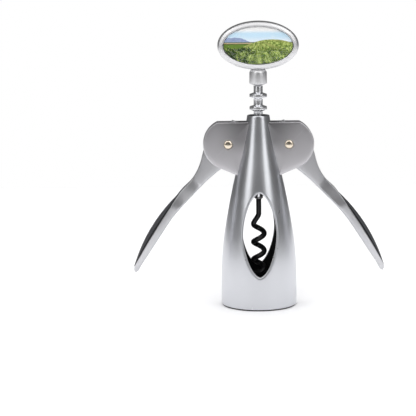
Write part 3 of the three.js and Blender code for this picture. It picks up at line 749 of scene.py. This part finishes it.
# %% Bottle guide
GUIDE_GAP = 0.2
GUIDE_WALL = 1.2
GUIDE_FRAME = (16.6, 67.4)
FLANGE_RADIUS = 20.4
FLANGE_BORE = 17.7
LEDGE_RADIUS = 12.5
LEDGE_Z = 14.0
LEDGE_TOP = 15.6


def guide_outer(z):
    """Outside radius of the guide, a small gap inside the bell."""
    return bell_radius(z) - WALL - GUIDE_GAP


def guide_inner(z):
    """Inside radius of the guide."""
    return guide_outer(z) - GUIDE_WALL


def guide_ends():
    """Profile below the windows, down the outside, over the flange, up the bore and over the
    ledge, and the profile of the thin top edge."""
    down = np.linspace(GUIDE_FRAME[0], BELL_FOOT + 0.05, 8)
    outside = np.stack([guide_outer(down), down], axis=1)
    base = [[FLANGE_RADIUS, BELL_FOOT - 0.02], [FLANGE_RADIUS, 0.15], [FLANGE_RADIUS - 0.15, 0],
            [FLANGE_BORE + 0.3, 0], [FLANGE_BORE, 0.3], [FLANGE_BORE, LEDGE_Z - 0.4],
            [FLANGE_BORE - 0.4, LEDGE_Z], [LEDGE_RADIUS + 0.2, LEDGE_Z],
            [LEDGE_RADIUS, LEDGE_Z + 0.2], [LEDGE_RADIUS, LEDGE_TOP - 0.2],
            [LEDGE_RADIUS + 0.2, LEDGE_TOP], [guide_inner(16.0) - 0.5, LEDGE_TOP],
            [guide_inner(16.2), 16.1], [guide_inner(GUIDE_FRAME[0]), GUIDE_FRAME[0]]]
    top = GUIDE_FRAME[1]
    edge = [[guide_outer(top), top], [guide_outer(top) - 0.1, top + 0.4],
            [guide_outer(top) - 0.4, top + 0.6], [guide_inner(top) + 0.2, top + 0.6],
            [guide_inner(top), top + 0.4], [guide_inner(top), top]]
    return np.concatenate([outside, base]), edge


guide_lip = [(GUIDE_GAP + 0.2, 0.0), (GUIDE_GAP + 0.05, 0.06), (GUIDE_GAP, 0.2),
             (GUIDE_GAP, GUIDE_WALL - 0.1)]
guide_grid = around_window(guide_outer, guide_inner, GUIDE_FRAME, guide_lip, 72, 60, 16) * MM
guide_base, guide_top = guide_ends()
guide = piece_from_grids("bottle_guide_moulding", [
    (guide_grid, False, True),
    (mirrored(guide_grid, 1, -1, 1), False, True),
    (turned(guide_base, 144) * MM, False, True),
    (turned(guide_top, 144) * MM, False, True),
])
settle(guide, "bell", "bottle_guide", BLACK_PLASTIC)

# %% Neck bush
BUSH_BORE = 5.0
BUSH_SEAM_Z = 103
bush_low, bush_high = NODE["neck_bush"][0][2], NODE["neck_bush"][1][2]
bush_radius = NODE["neck_bush"][1][1]
bush_profile = round_profile([
    [BUSH_BORE, BUSH_SEAM_Z], [BUSH_BORE, bush_high], [bush_radius, bush_high],
    [bush_radius, bush_low], [BUSH_BORE, bush_low], [BUSH_BORE, BUSH_SEAM_Z]], 0.14)
bush = piece_from_grids("neck_bush_moulding", [(turned(bush_profile, 96) * MM, False, True)])
settle(bush, "bell", "neck_bush", BLACK_PLASTIC)

# %% [markdown]
# ## Ringed sleeve, worm and collar
# The rings are a rack that is the same from every side, so the worm can turn while the levers
# stay in mesh. They are turned from bar and plated bright. The worm is bent steel wire with a
# black slippery coating: a tube swept along a helix, that swings in to the axis at its top and
# is ground to a point.

# %% Sleeve and collar
RING_RADIUS = NODE["rack_sleeve"][1][0]
SLEEVE_RADIUS = 2.5
SLEEVE_BORE = 1.68
RACK_PITCH_RADIUS = 3.65
GEAR_PITCH_RADIUS = PIVOT[0] - RACK_PITCH_RADIUS
TOOTH_STEP = 2 * math.pi / 12
RACK_PITCH = TOOTH_STEP * GEAR_PITCH_RADIUS
PRESSURE = math.radians(18)
RING_MIDDLE = 89.7
RING_HALF = 1.25
RINGS_BELOW, RINGS_ABOVE = 3, 4


def sleeve_profile():
    """Up the outside, over eight rings whose flanks lean by the pressure angle, down the bore."""
    low, high = NODE["rack_sleeve"][0][2], NODE["rack_sleeve"][1][2]
    centres = RING_MIDDLE + RACK_PITCH * np.arange(-RINGS_BELOW, RINGS_ABOVE + 1)
    lean = math.tan(PRESSURE)
    root = RING_HALF + (RACK_PITCH_RADIUS - SLEEVE_RADIUS) * lean
    rim = RING_HALF + (RACK_PITCH_RADIUS - RING_RADIUS) * lean
    ring = np.array([[SLEEVE_RADIUS, -root], [RING_RADIUS, -rim],
                     [RING_RADIUS, rim], [SLEEVE_RADIUS, root]])
    rings = (ring[None] + np.stack([centres * 0, centres], axis=1)[:, None]).reshape(-1, 2)
    corners = np.concatenate([[[SLEEVE_BORE, low], [SLEEVE_RADIUS, low]], rings,
                              [[SLEEVE_RADIUS, high], [SLEEVE_BORE, high], [SLEEVE_BORE, low]]])
    return round_profile(corners, 0.3)


sleeve = piece_from_grids("ringed_sleeve", [(turned(sleeve_profile(), 96) * MM, False, True)])
settle(sleeve, "rack", "rack_sleeve", BRIGHT_NICKEL)

collar_low, collar_high = NODE["worm_collar"][0][2], NODE["worm_collar"][1][2]
collar_radius = NODE["worm_collar"][1][0]
COLLAR_BORE = 1.55
COLLAR_FOOT = 1.95
collar_profile = round_profile([
    [COLLAR_BORE, collar_low + 0.6], [COLLAR_BORE, collar_low], [COLLAR_FOOT, collar_low],
    [collar_radius, collar_high - 0.3], [collar_radius, collar_high],
    [COLLAR_BORE, collar_high], [COLLAR_BORE, collar_low + 0.6]], 0.12)
collar = piece_from_grids("worm_collar_ring", [(turned(collar_profile, 72) * MM, False, True)])
settle(collar, "screw", "worm_collar", HANDLE_NICKEL)

# %% Worm
WIRE_RADIUS = 1.45
HELIX_RADIUS = 3.0
HELIX_PITCH = 9.8
TURN_END_Z = 45.1
TURN_EASE = 0.6
HELIX_TOP = 51.5
GROUND_LENGTH = 5.5
POINT_RADIUS = 1e-4


def worm_path(z):
    """Centre line. Below the last turn it rotates once for each pitch of height; there the
    rotation stops gently, by a soft minimum, and the radius shrinks to nothing on the way up
    to the straight shank."""
    turning = -TURN_EASE * np.logaddexp(0, (TURN_END_Z - z) / TURN_EASE)
    angle = np.pi + 2 * np.pi * turning / HELIX_PITCH
    radius = HELIX_RADIUS * (1 - smoothstep(TURN_END_Z, HELIX_TOP, z))
    outward = np.stack([np.cos(angle), np.sin(angle), angle * 0], axis=1)
    return radius[:, None] * outward + np.stack([z * 0, z * 0, z], axis=1), outward


def swept_wire(path, outward, radius, sides=28):
    """A circle carried along a path: its plane is square to the path, and its first point is
    the outward direction made square to the path."""
    forward = np.gradient(path, axis=0)
    forward /= np.linalg.norm(forward, axis=1, keepdims=True)
    first = outward - forward * np.sum(outward * forward, axis=1, keepdims=True)
    first /= np.linalg.norm(first, axis=1, keepdims=True)
    second = np.cross(forward, first)
    around = np.linspace(0, 2 * np.pi, sides, endpoint=False)[None, :, None]
    ring = np.cos(around) * first[:, None] + np.sin(around) * second[:, None]
    return path[:, None] + radius[:, None, None] * ring


worm_low, worm_high = NODE["worm"][0][2], NODE["worm"][1][2]
worm_z = np.concatenate([np.linspace(worm_low + 0.15, HELIX_TOP, 340),
                         np.linspace(HELIX_TOP + 1, worm_high, 30)])
worm_line, worm_outward = worm_path(worm_z)
from_tip = np.concatenate([[0], np.cumsum(np.linalg.norm(np.diff(worm_line, axis=0), axis=1))])
wire = WIRE_RADIUS * np.sqrt(np.clip(from_tip / GROUND_LENGTH, 0, 1)) + POINT_RADIUS
wire[-1] = POINT_RADIUS
wire[-2] = WIRE_RADIUS
worm = piece_from_grids("worm_wire", [
    (swept_wire(worm_line, worm_outward, wire) * MM, False, True)], crisp_degrees=50)
settle(worm, "screw", "worm", WORM_COATING)

# %% [markdown]
# ## The handle
# An oval casting on a round stem, to be turned between finger and thumb. Its rounded bezel is a
# profile carried round an ellipse. The printed picture lies in the pocket, and a clear resin dome
# covers it.

# %% Frame of the handle
OVAL_HALF = np.array([22.3, 13.4])
OVAL_DEPTH = 4.2
POCKET_HALF = np.array([19.0, 10.3])
POCKET_FLOOR = -2.2
BACK_ROUNDING = 3.6


def oval_rows(rows, columns=160):
    """Ellipses one inside another. A row is (half width, half height, y)."""
    r = np.array(rows, float)
    angle = np.linspace(-np.pi, np.pi, columns, endpoint=False)
    x = r[:, :1] * np.cos(angle)
    z = OVAL_Z + r[:, 1:2] * np.sin(angle)
    return np.stack([x, np.repeat(r[:, 2:], columns, axis=1), z], axis=-1)


def bezel_rows():
    """From the middle of the pocket, up its wall, over the rounded bezel and round the rim to
    the middle of the back, which is flat inside a rounding."""
    floor = [(0, 0, POCKET_FLOOR), (*(POCKET_HALF * 0.97), POCKET_FLOOR),
             (*POCKET_HALF, POCKET_FLOOR)]
    wall = [(*POCKET_HALF, -3.4), (*(POCKET_HALF + 0.06), -3.58)]
    inset = np.array([3.1, 2.98, 2.75, 2.4, 1.9, 1.4, 0.95, 0.6, 0.33, 0.12, 0.0])
    forward = np.array([3.85, 4.08, 4.2, 4.14, 3.93, 3.7, 3.46, 3.2, 2.85, 2.4, 1.8])
    front = [(*(OVAL_HALF - d), -y) for d, y in zip(inset, forward)]
    back = [(a, b, -y) for a, b, y in front[:1:-1]]
    flat = OVAL_HALF - BACK_ROUNDING
    middle = [(*flat, OVAL_DEPTH), (*(flat * 0.5), OVAL_DEPTH), (0, 0, OVAL_DEPTH)]
    return floor + wall + front + back + middle


STEM_RADIUS = 4.8
STEM_LOW = 122.9
SHANK_BORE = 1.55
SHANK_BORE_TOP = 127.0
SHOULDER_Z = 129.6
SHOULDER_HEIGHT = 2.5
lift = np.linspace(0, np.pi / 2, 12)[:, None]
shoulder = np.hstack([STEM_RADIUS * np.cos(lift) ** 0.55,
                      SHOULDER_Z + SHOULDER_HEIGHT * np.sin(lift)])
stem_profile = np.concatenate([
    [[SHANK_BORE, SHANK_BORE_TOP], [SHANK_BORE, STEM_LOW + 0.1], [SHANK_BORE + 0.12, STEM_LOW],
     [2.6, STEM_LOW], [2.85, STEM_LOW + 0.08], [4.5, STEM_LOW + 0.86],
     [4.72, STEM_LOW + 1.02], [STEM_RADIUS, STEM_LOW + 1.3]], shoulder])
handle = piece_from_grids("handle_casting", [
    (oval_rows(bezel_rows()) * MM, False, True),
    (turned(stem_profile, 96) * MM, False, True),
])
settle(handle, "screw", "handle_frame", HANDLE_NICKEL)

# %% Picture disc and clear dome
PICTURE_HALF = POCKET_HALF - 0.15
PICTURE_FRONT = NODE["picture_disc"][0][1]
PICTURE_BACK = NODE["picture_disc"][1][1]
picture = piece_from_grids("printed_disc", [(oval_rows([
    (0, 0, PICTURE_FRONT), (*(PICTURE_HALF * 0.5), PICTURE_FRONT),
    (*(PICTURE_HALF - 0.1), PICTURE_FRONT), (*PICTURE_HALF, PICTURE_FRONT + 0.1),
    (*PICTURE_HALF, PICTURE_BACK), (0, 0, PICTURE_BACK)]) * MM, False, True)])
settle(picture, "screw", "picture_disc", PICTURE_PRINT)

LENS_FRONT = NODE["dome_lens"][0][1]
LENS_BACK = NODE["dome_lens"][1][1]
LENS_RIM = LENS_BACK - 0.45
lens_rows = [(*(PICTURE_HALF * math.sin(t)), LENS_RIM - (LENS_RIM - LENS_FRONT) * math.cos(t))
             for t in np.linspace(0, np.pi / 2, 16)]
lens_rows += [(*PICTURE_HALF, LENS_BACK), (0, 0, LENS_BACK)]
lens = piece_from_grids("resin_dome", [(oval_rows(lens_rows) * MM, False, True)])
settle(lens, "screw", "dome_lens", CLEAR_RESIN)

# %% [markdown]
# ## The levers
# A lever is cast in one piece: a geared hub between the cheeks, an arm, and a leaf-shaped grip
# with a recess for the soft pad. The arm is a loft. Its outer and its inner edge are drawn in the
# side view, and a rounded rectangle is carried between them. It is as wide at each point as the
# leaf is there, measured along the grip line.

# %% The grip line and the leaf
GRIP_START = np.array([43.3, 64.6])
GRIP_ANGLE = math.radians(57.8)
ALONG = np.array([math.cos(GRIP_ANGLE), -math.sin(GRIP_ANGLE)])
OUTWARD = np.array([math.sin(GRIP_ANGLE), math.cos(GRIP_ANGLE)])
HUB_HALF = 2.6
LEAF_HALF = 7.0
LEAF_MIDDLE = 22.0
FLARE = (-9.0, 10.0)
ARM_TIP = 52.9
PAD_MIDDLE = 25.5
PAD_SIZE = np.array([24.5, 5.6, 3.3])
PAD_SEAT = -1.0
PAD_SIDE = 1.75
PAD_GAP = 0.25
BED_DEPTH = 1.1


def leaf_half_width(along):
    """Half-width along the grip line: the flat bar, a smooth rise to the widest place, and from
    there an ellipse to the round tip."""
    rise = HUB_HALF + (LEAF_HALF - HUB_HALF) * smoothstep(*FLARE, along)
    reach = np.clip((along - LEAF_MIDDLE) / (ARM_TIP - LEAF_MIDDLE), 0, 1)
    return np.where(along < LEAF_MIDDLE, rise, LEAF_HALF * np.sqrt(1 - reach**2))


ARM_OUTER = np.array([
    [26.9, 92.6], [29.9, 88.6], [31.9, 81.6], [34.2, 75.6], [37.8, 70.2], [43.3, 64.6],
    [50.2, 54.7], [56.8, 44.65], [63.1, 34.4], [67.2, 27.2], [69.25, 23.4], [70.0, 20.7],
    [69.3, 18.75]])
ARM_INNER = np.array([
    [15.0, 80.0], [21.1, 76.6], [25.5, 73.1], [29.5, 69.6], [33.6, 65.4], [38.8, 60.3],
    [46.6, 52.0], [53.7, 41.9], [60.1, 32.0], [64.1, 25.8], [66.2, 22.4], [67.6, 19.8],
    [69.2, 18.65]])
ARM_STATIONS = 150
TOP_CORNER = 0.4
UNDER_CORNER = 1.1


def arm_edges():
    """Outer and inner edge in X-Z, at stations that crowd together towards the tip."""
    knots = np.arange(len(ARM_OUTER))
    share = np.linspace(0, 1, ARM_STATIONS)
    t = (1 - (1 - share) ** 1.35) * knots[-1]
    return spline(knots, ARM_OUTER)(t), spline(knots, ARM_INNER)(t)


def pad_bed(along, proud, flat):
    """Half-width and depth of the recess at each station. It is where the arm's outer edge, at
    a height above the grip line, cuts the lens shape of the pad made one gap larger."""
    share = (along - PAD_MIDDLE) / (PAD_SIZE[0] + PAD_GAP)
    inside = 1 - share**2 - (proud / (PAD_SIZE[2] + PAD_GAP)) ** 2
    bed = (PAD_SIZE[1] + PAD_GAP) * np.sqrt(np.clip(inside, 0, 1))
    depth = BED_DEPTH * smoothstep(0, 0.06, inside)
    return np.clip(bed, 0, flat - 0.05), depth


def arm_section(half, width, along, proud):
    """The points of every station once round, as y and as height v above the middle of the bar.
    A station is a rounded rectangle, with small corners on top and large ones underneath, and
    the pad's recess let into the top."""
    limit = 0.9 * np.minimum(half, width)
    top_round = np.minimum(TOP_CORNER, limit)
    low_round = np.minimum(UNDER_CORNER, limit)
    flat = width - top_round
    bed, depth = pad_bed(along, proud, flat)
    depth = np.minimum(depth, half)
    brow = np.minimum(bed + 0.14, (bed + flat) / 2)
    right_top = np.hstack([bed * 0, bed * 0.5, bed * 0.995, bed, brow, (flat + brow) / 2, flat])
    right_drop = np.array([1, 1, 1, 0.12, 0, 0, 0]) * depth
    bend = np.linspace(np.pi / 2, 0, 7)
    side = np.array([0.5, 0.0, -0.5])
    y = np.hstack([right_top, flat + top_round * np.cos(bend[1:]), width + side * 0,
                   width - low_round + low_round * np.cos(bend[::-1]),
                   (width - low_round) * np.array([0.5])])
    v = np.hstack([half - right_drop, half - top_round + top_round * np.sin(bend[1:]),
                   side * (half - limit), -half + low_round - low_round * np.sin(bend[::-1]),
                   -half])
    return (np.hstack([y, width * 0, -y[:, :0:-1]]),
            np.hstack([v, -half, v[:, :0:-1]]))


def arm_grid():
    """The loft: a section from the outer to the inner edge at each station, as wide as the leaf
    is there."""
    outer, inner = arm_edges()
    middle = (outer + inner) / 2
    half = np.linalg.norm(outer - inner, axis=1)[:, None] / 2
    up = (outer - inner) / (2 * half)
    width = np.maximum(leaf_half_width((middle - GRIP_START) @ ALONG), 0.02)[:, None]
    along = ((outer - GRIP_START) @ ALONG)[:, None]
    proud = ((outer - GRIP_START) @ OUTWARD)[:, None]
    y, v = arm_section(half, width, along, proud)
    flat_xz = middle[:, None] + v[..., None] * up[:, None]
    return np.stack([flat_xz[..., 0], y, flat_xz[..., 1]], axis=-1)


def closed_ends(grid):
    """Adds a row at each end, all at the middle of the end, so that the ends are closed."""
    first = np.broadcast_to(grid[:1].mean(axis=1, keepdims=True), grid[:1].shape)
    last = np.broadcast_to(grid[-1:].mean(axis=1, keepdims=True), grid[-1:].shape)
    return np.concatenate([first, grid, last])


# %% The geared hub
TEETH_CUT = 5
GEAR_BASE = GEAR_PITCH_RADIUS * math.cos(PRESSURE)
GEAR_TIP = 13.4
GEAR_ROOT = 11.73
TOOTH_HALF = 1.975 / GEAR_PITCH_RADIUS
HUB_BORE = 1.75


def tooth_half_angle(radius):
    """Half the angle a tooth fills: its value at the pitch circle, plus the involute of the
    pressure angle, less the involute of the angle whose cosine is base over radius."""
    def involute(angle):
        return np.tan(angle) - angle
    at = np.arccos(np.minimum(1, GEAR_BASE / radius))
    return TOOTH_HALF + involute(PRESSURE) - involute(at)


def gear_outline():
    """Five teeth that face the sleeve, and a plain hub the rest of the way round."""
    rise = RING_MIDDLE + RACK_PITCH / 2 - PIVOT[1]
    first = math.pi - rise / GEAR_PITCH_RADIUS - (TEETH_CUT - 1) / 2 * TOOTH_STEP
    centres = first + TOOTH_STEP * np.arange(TEETH_CUT)
    radii = np.concatenate([[GEAR_ROOT], np.linspace(GEAR_BASE, GEAR_TIP, 6)])
    half = tooth_half_angle(radii)
    tooth_r = np.concatenate([radii, radii[::-1]])
    tooth_a = np.concatenate([-half, half[::-1]])
    angles = (centres[:, None] + tooth_a).ravel()
    reach = np.tile(tooth_r, TEETH_CUT)
    plain = np.linspace(angles[-1], angles[0] + 2 * math.pi, 60)[1:-1]
    angles = np.concatenate([angles, plain])
    reach = np.concatenate([reach, np.full(len(plain), GEAR_ROOT)])
    outline = PIVOT + reach[:, None] * np.stack([np.cos(angles), np.sin(angles)], axis=1)
    return resampled(outline, 640)


hub_rows = [
    ("ring", HUB_BORE, 0.0), ("ring", HUB_BORE, -HUB_HALF + 0.1),
    ("ring", HUB_BORE + 0.1, -HUB_HALF), ("part", 0.5, -HUB_HALF), ("part", 0.8, -HUB_HALF),
    ("edge", 0.14, -HUB_HALF), ("edge", 0.03, -HUB_HALF + 0.06), ("edge", 0.0, -HUB_HALF + 0.16),
    ("edge", 0.0, HUB_HALF - 0.16), ("edge", 0.03, HUB_HALF - 0.06), ("edge", 0.14, HUB_HALF),
    ("part", 0.8, HUB_HALF), ("part", 0.5, HUB_HALF), ("ring", HUB_BORE + 0.1, HUB_HALF),
    ("ring", HUB_BORE, HUB_HALF - 0.1),
]


# %% Soft pads
def pad_grid():
    """Rings from the crown out to the widest one, then down a steep side to a flat seat. The
    crown falls with the square of a ring's size; the side is highest halfway along the pad and
    nothing at its two ends. Rows are rings, columns go round."""
    around = np.linspace(0, 2 * np.pi, 144, endpoint=False)
    size = np.linspace(0, 1, 36)[:, None]
    along = size * np.cos(around)
    dome = PAD_SIDE * (1 - along**2) + (PAD_SIZE[2] - PAD_SIDE) * (1 - size**2)
    reach = np.vstack([size, [[1.01], [1.01], [0.99], [0.97], [0.0]]])
    under = np.array([0.85, 0.0, -0.75, 0.0, 0.0])[:, None] * np.maximum(dome[-1:], 0)
    under = under + np.array([-0.05, -0.2, -0.7, PAD_SEAT, PAD_SEAT])[:, None]
    height = np.vstack([dome, np.maximum(under, PAD_SEAT)])
    along = PAD_MIDDLE + PAD_SIZE[0] * reach * np.cos(around)
    y = PAD_SIZE[1] * reach * np.sin(around)
    xz = GRIP_START + along[..., None] * ALONG + height[..., None] * OUTWARD
    return np.stack([xz[..., 0], y, xz[..., 1]], axis=-1)


# %% Both levers and their pads
arm = closed_ends(arm_grid()) * MM
hub = pierced_plate(gear_outline(), PIVOT, hub_rows) * MM
pad = pad_grid() * MM
for side_name, side in (("right", 1), ("left", -1)):
    lever = piece_from_grids(f"lever_casting_{side_name}", [
        (mirrored(arm, side, 1, 1), False, True), (mirrored(hub, side, 1, 1), True, True)])
    settle(lever, f"wing_{side_name}", f"lever_{side_name}", LEVER_NICKEL)
    soft = piece_from_grids(f"soft_pad_{side_name}", [(mirrored(pad, side, 1, 1), False, True)])
    settle(soft, f"wing_{side_name}", f"lever_pad_{side_name}", GRIP_RUBBER)

# %% [markdown]
# ## Camera, floor and light
# Satin metal shows its surroundings more than itself. Two tall soft boxes stand at the sides and
# give the neck its two bright bands. A wide box above the camera brightens what leans back, and
# the dim room below it leaves a dark band between the two and greys the cheeks. Two more lamps
# light only what is matt: the print, the plastic and the floor. The pale floor near the object
# lights the foot of the bell.

# %% Camera
CAMERA_DISTANCE = 0.880
CAMERA_HEIGHT = 0.195
CAMERA_AZIMUTH = math.radians(-2.0)
LOOK_YAW = math.radians(0.158)
LOOK_PITCH = math.radians(-9.064)
LOOK_ROLL = math.radians(0.55)
FOCAL_LENGTH = 138.17


def add_camera():
    """Camera on a circle round the object, turned by a yaw, a pitch and a slight roll."""
    data = bpy.data.cameras.new("camera")
    data.lens, data.sensor_width = FOCAL_LENGTH, 36.0
    forward = Vector((math.sin(LOOK_YAW) * math.cos(LOOK_PITCH),
                      math.cos(LOOK_YAW) * math.cos(LOOK_PITCH), math.sin(LOOK_PITCH)))
    level = forward.cross(Vector((0, 0, 1))).normalized()
    upright = level.cross(forward)
    c, s = math.cos(LOOK_ROLL), math.sin(LOOK_ROLL)
    right, up = level * c - upright * s, level * s + upright * c
    place = Matrix((right, up, -forward)).transposed().to_4x4()
    place.translation = (CAMERA_DISTANCE * math.sin(CAMERA_AZIMUTH),
                         -CAMERA_DISTANCE * math.cos(CAMERA_AZIMUTH), CAMERA_HEIGHT)
    camera = bpy.data.objects.new("camera", data)
    camera.matrix_world = place
    bpy.context.scene.collection.objects.link(camera)
    bpy.context.scene.camera = camera
    return camera


camera = add_camera()
print("camera at", [round(v, 4) for v in camera.matrix_world.translation])


# %% Floor, soft boxes and room
def add_floor(front, back, half_width):
    """Pale matt sheet round the object. Beyond its edges the bright room shows instead."""
    mesh = bpy.data.meshes.new("floor")
    corners = [(-half_width, -front, 0), (half_width, -front, 0),
               (half_width, back, 0), (-half_width, back, 0)]
    mesh.from_pydata(corners, [], [(0, 1, 2, 3)])
    floor = bpy.data.objects.new("floor", mesh)
    bpy.context.scene.collection.objects.link(floor)
    material = bpy.data.materials.new("floor_white")
    material.use_nodes = True
    shader = material.node_tree.nodes["Principled BSDF"]
    shader.inputs["Base Color"].default_value = (0.90, 0.90, 0.91, 1)
    shader.inputs["Roughness"].default_value = 0.9
    shader.inputs["Specular IOR Level"].default_value = 0.0
    mesh.materials.append(material)


def add_soft_box(name, azimuth, elevation, distance, size, radiance, mirrored_in_metal=True):
    """Area lamp on a sphere round the object, facing its middle. The power of a flat lamp is
    its radiance times its area times pi. One that isn't mirrored in metal lights matt surfaces
    and is left out of reflections."""
    lamp = bpy.data.lights.new(name, "AREA")
    lamp.shape = "RECTANGLE"
    lamp.size, lamp.size_y = size
    lamp.energy = radiance * size[0] * size[1] * math.pi
    a, e = math.radians(azimuth), math.radians(elevation)
    back = Vector((math.sin(a) * math.cos(e), -math.cos(a) * math.cos(e), math.sin(e)))
    box = bpy.data.objects.new(name, lamp)
    box.location = Vector((0, 0, 0.08)) + back * distance
    box.rotation_euler = back.to_track_quat("Z", "Y").to_euler()
    box.visible_glossy = mirrored_in_metal
    bpy.context.scene.collection.objects.link(box)


def add_room(seen, felt):
    """A room that is bright where the camera looks straight at it and dim for the metal."""
    world = bpy.data.worlds.new("room")
    world.use_nodes = True
    tree = world.node_tree
    ray = tree.nodes.new("ShaderNodeLightPath").outputs["Is Camera Ray"]
    strength = put(tree, "ShaderNodeMapRange", Value=ray, To_Min=felt, To_Max=seen).outputs[0]
    tree.nodes["Background"].inputs["Color"].default_value = (1, 1, 1, 1)
    tree.links.new(strength, tree.nodes["Background"].inputs["Strength"])
    bpy.context.scene.world = world


add_floor(front=0.45, back=0.45, half_width=0.7)
add_soft_box("left_box", -50, 29, 0.9, (0.40, 0.85), 1.45)
add_soft_box("right_box", 43, 29, 0.9, (0.40, 0.85), 1.45)
add_soft_box("upper_box", 0, 53.5, 1.2, (1.8, 0.8), 1.35)
add_soft_box("top_box", 180, 66, 1.2, (2.6, 2.0), 1.68, mirrored_in_metal=False)
add_soft_box("front_fill", -8, 12, 1.2, (0.5, 0.5), 4.6, mirrored_in_metal=False)
add_room(seen=1.0, felt=0.145)
bpy.context.scene.view_settings.view_transform = "Standard"
print("lamps:", len(bpy.data.lights))
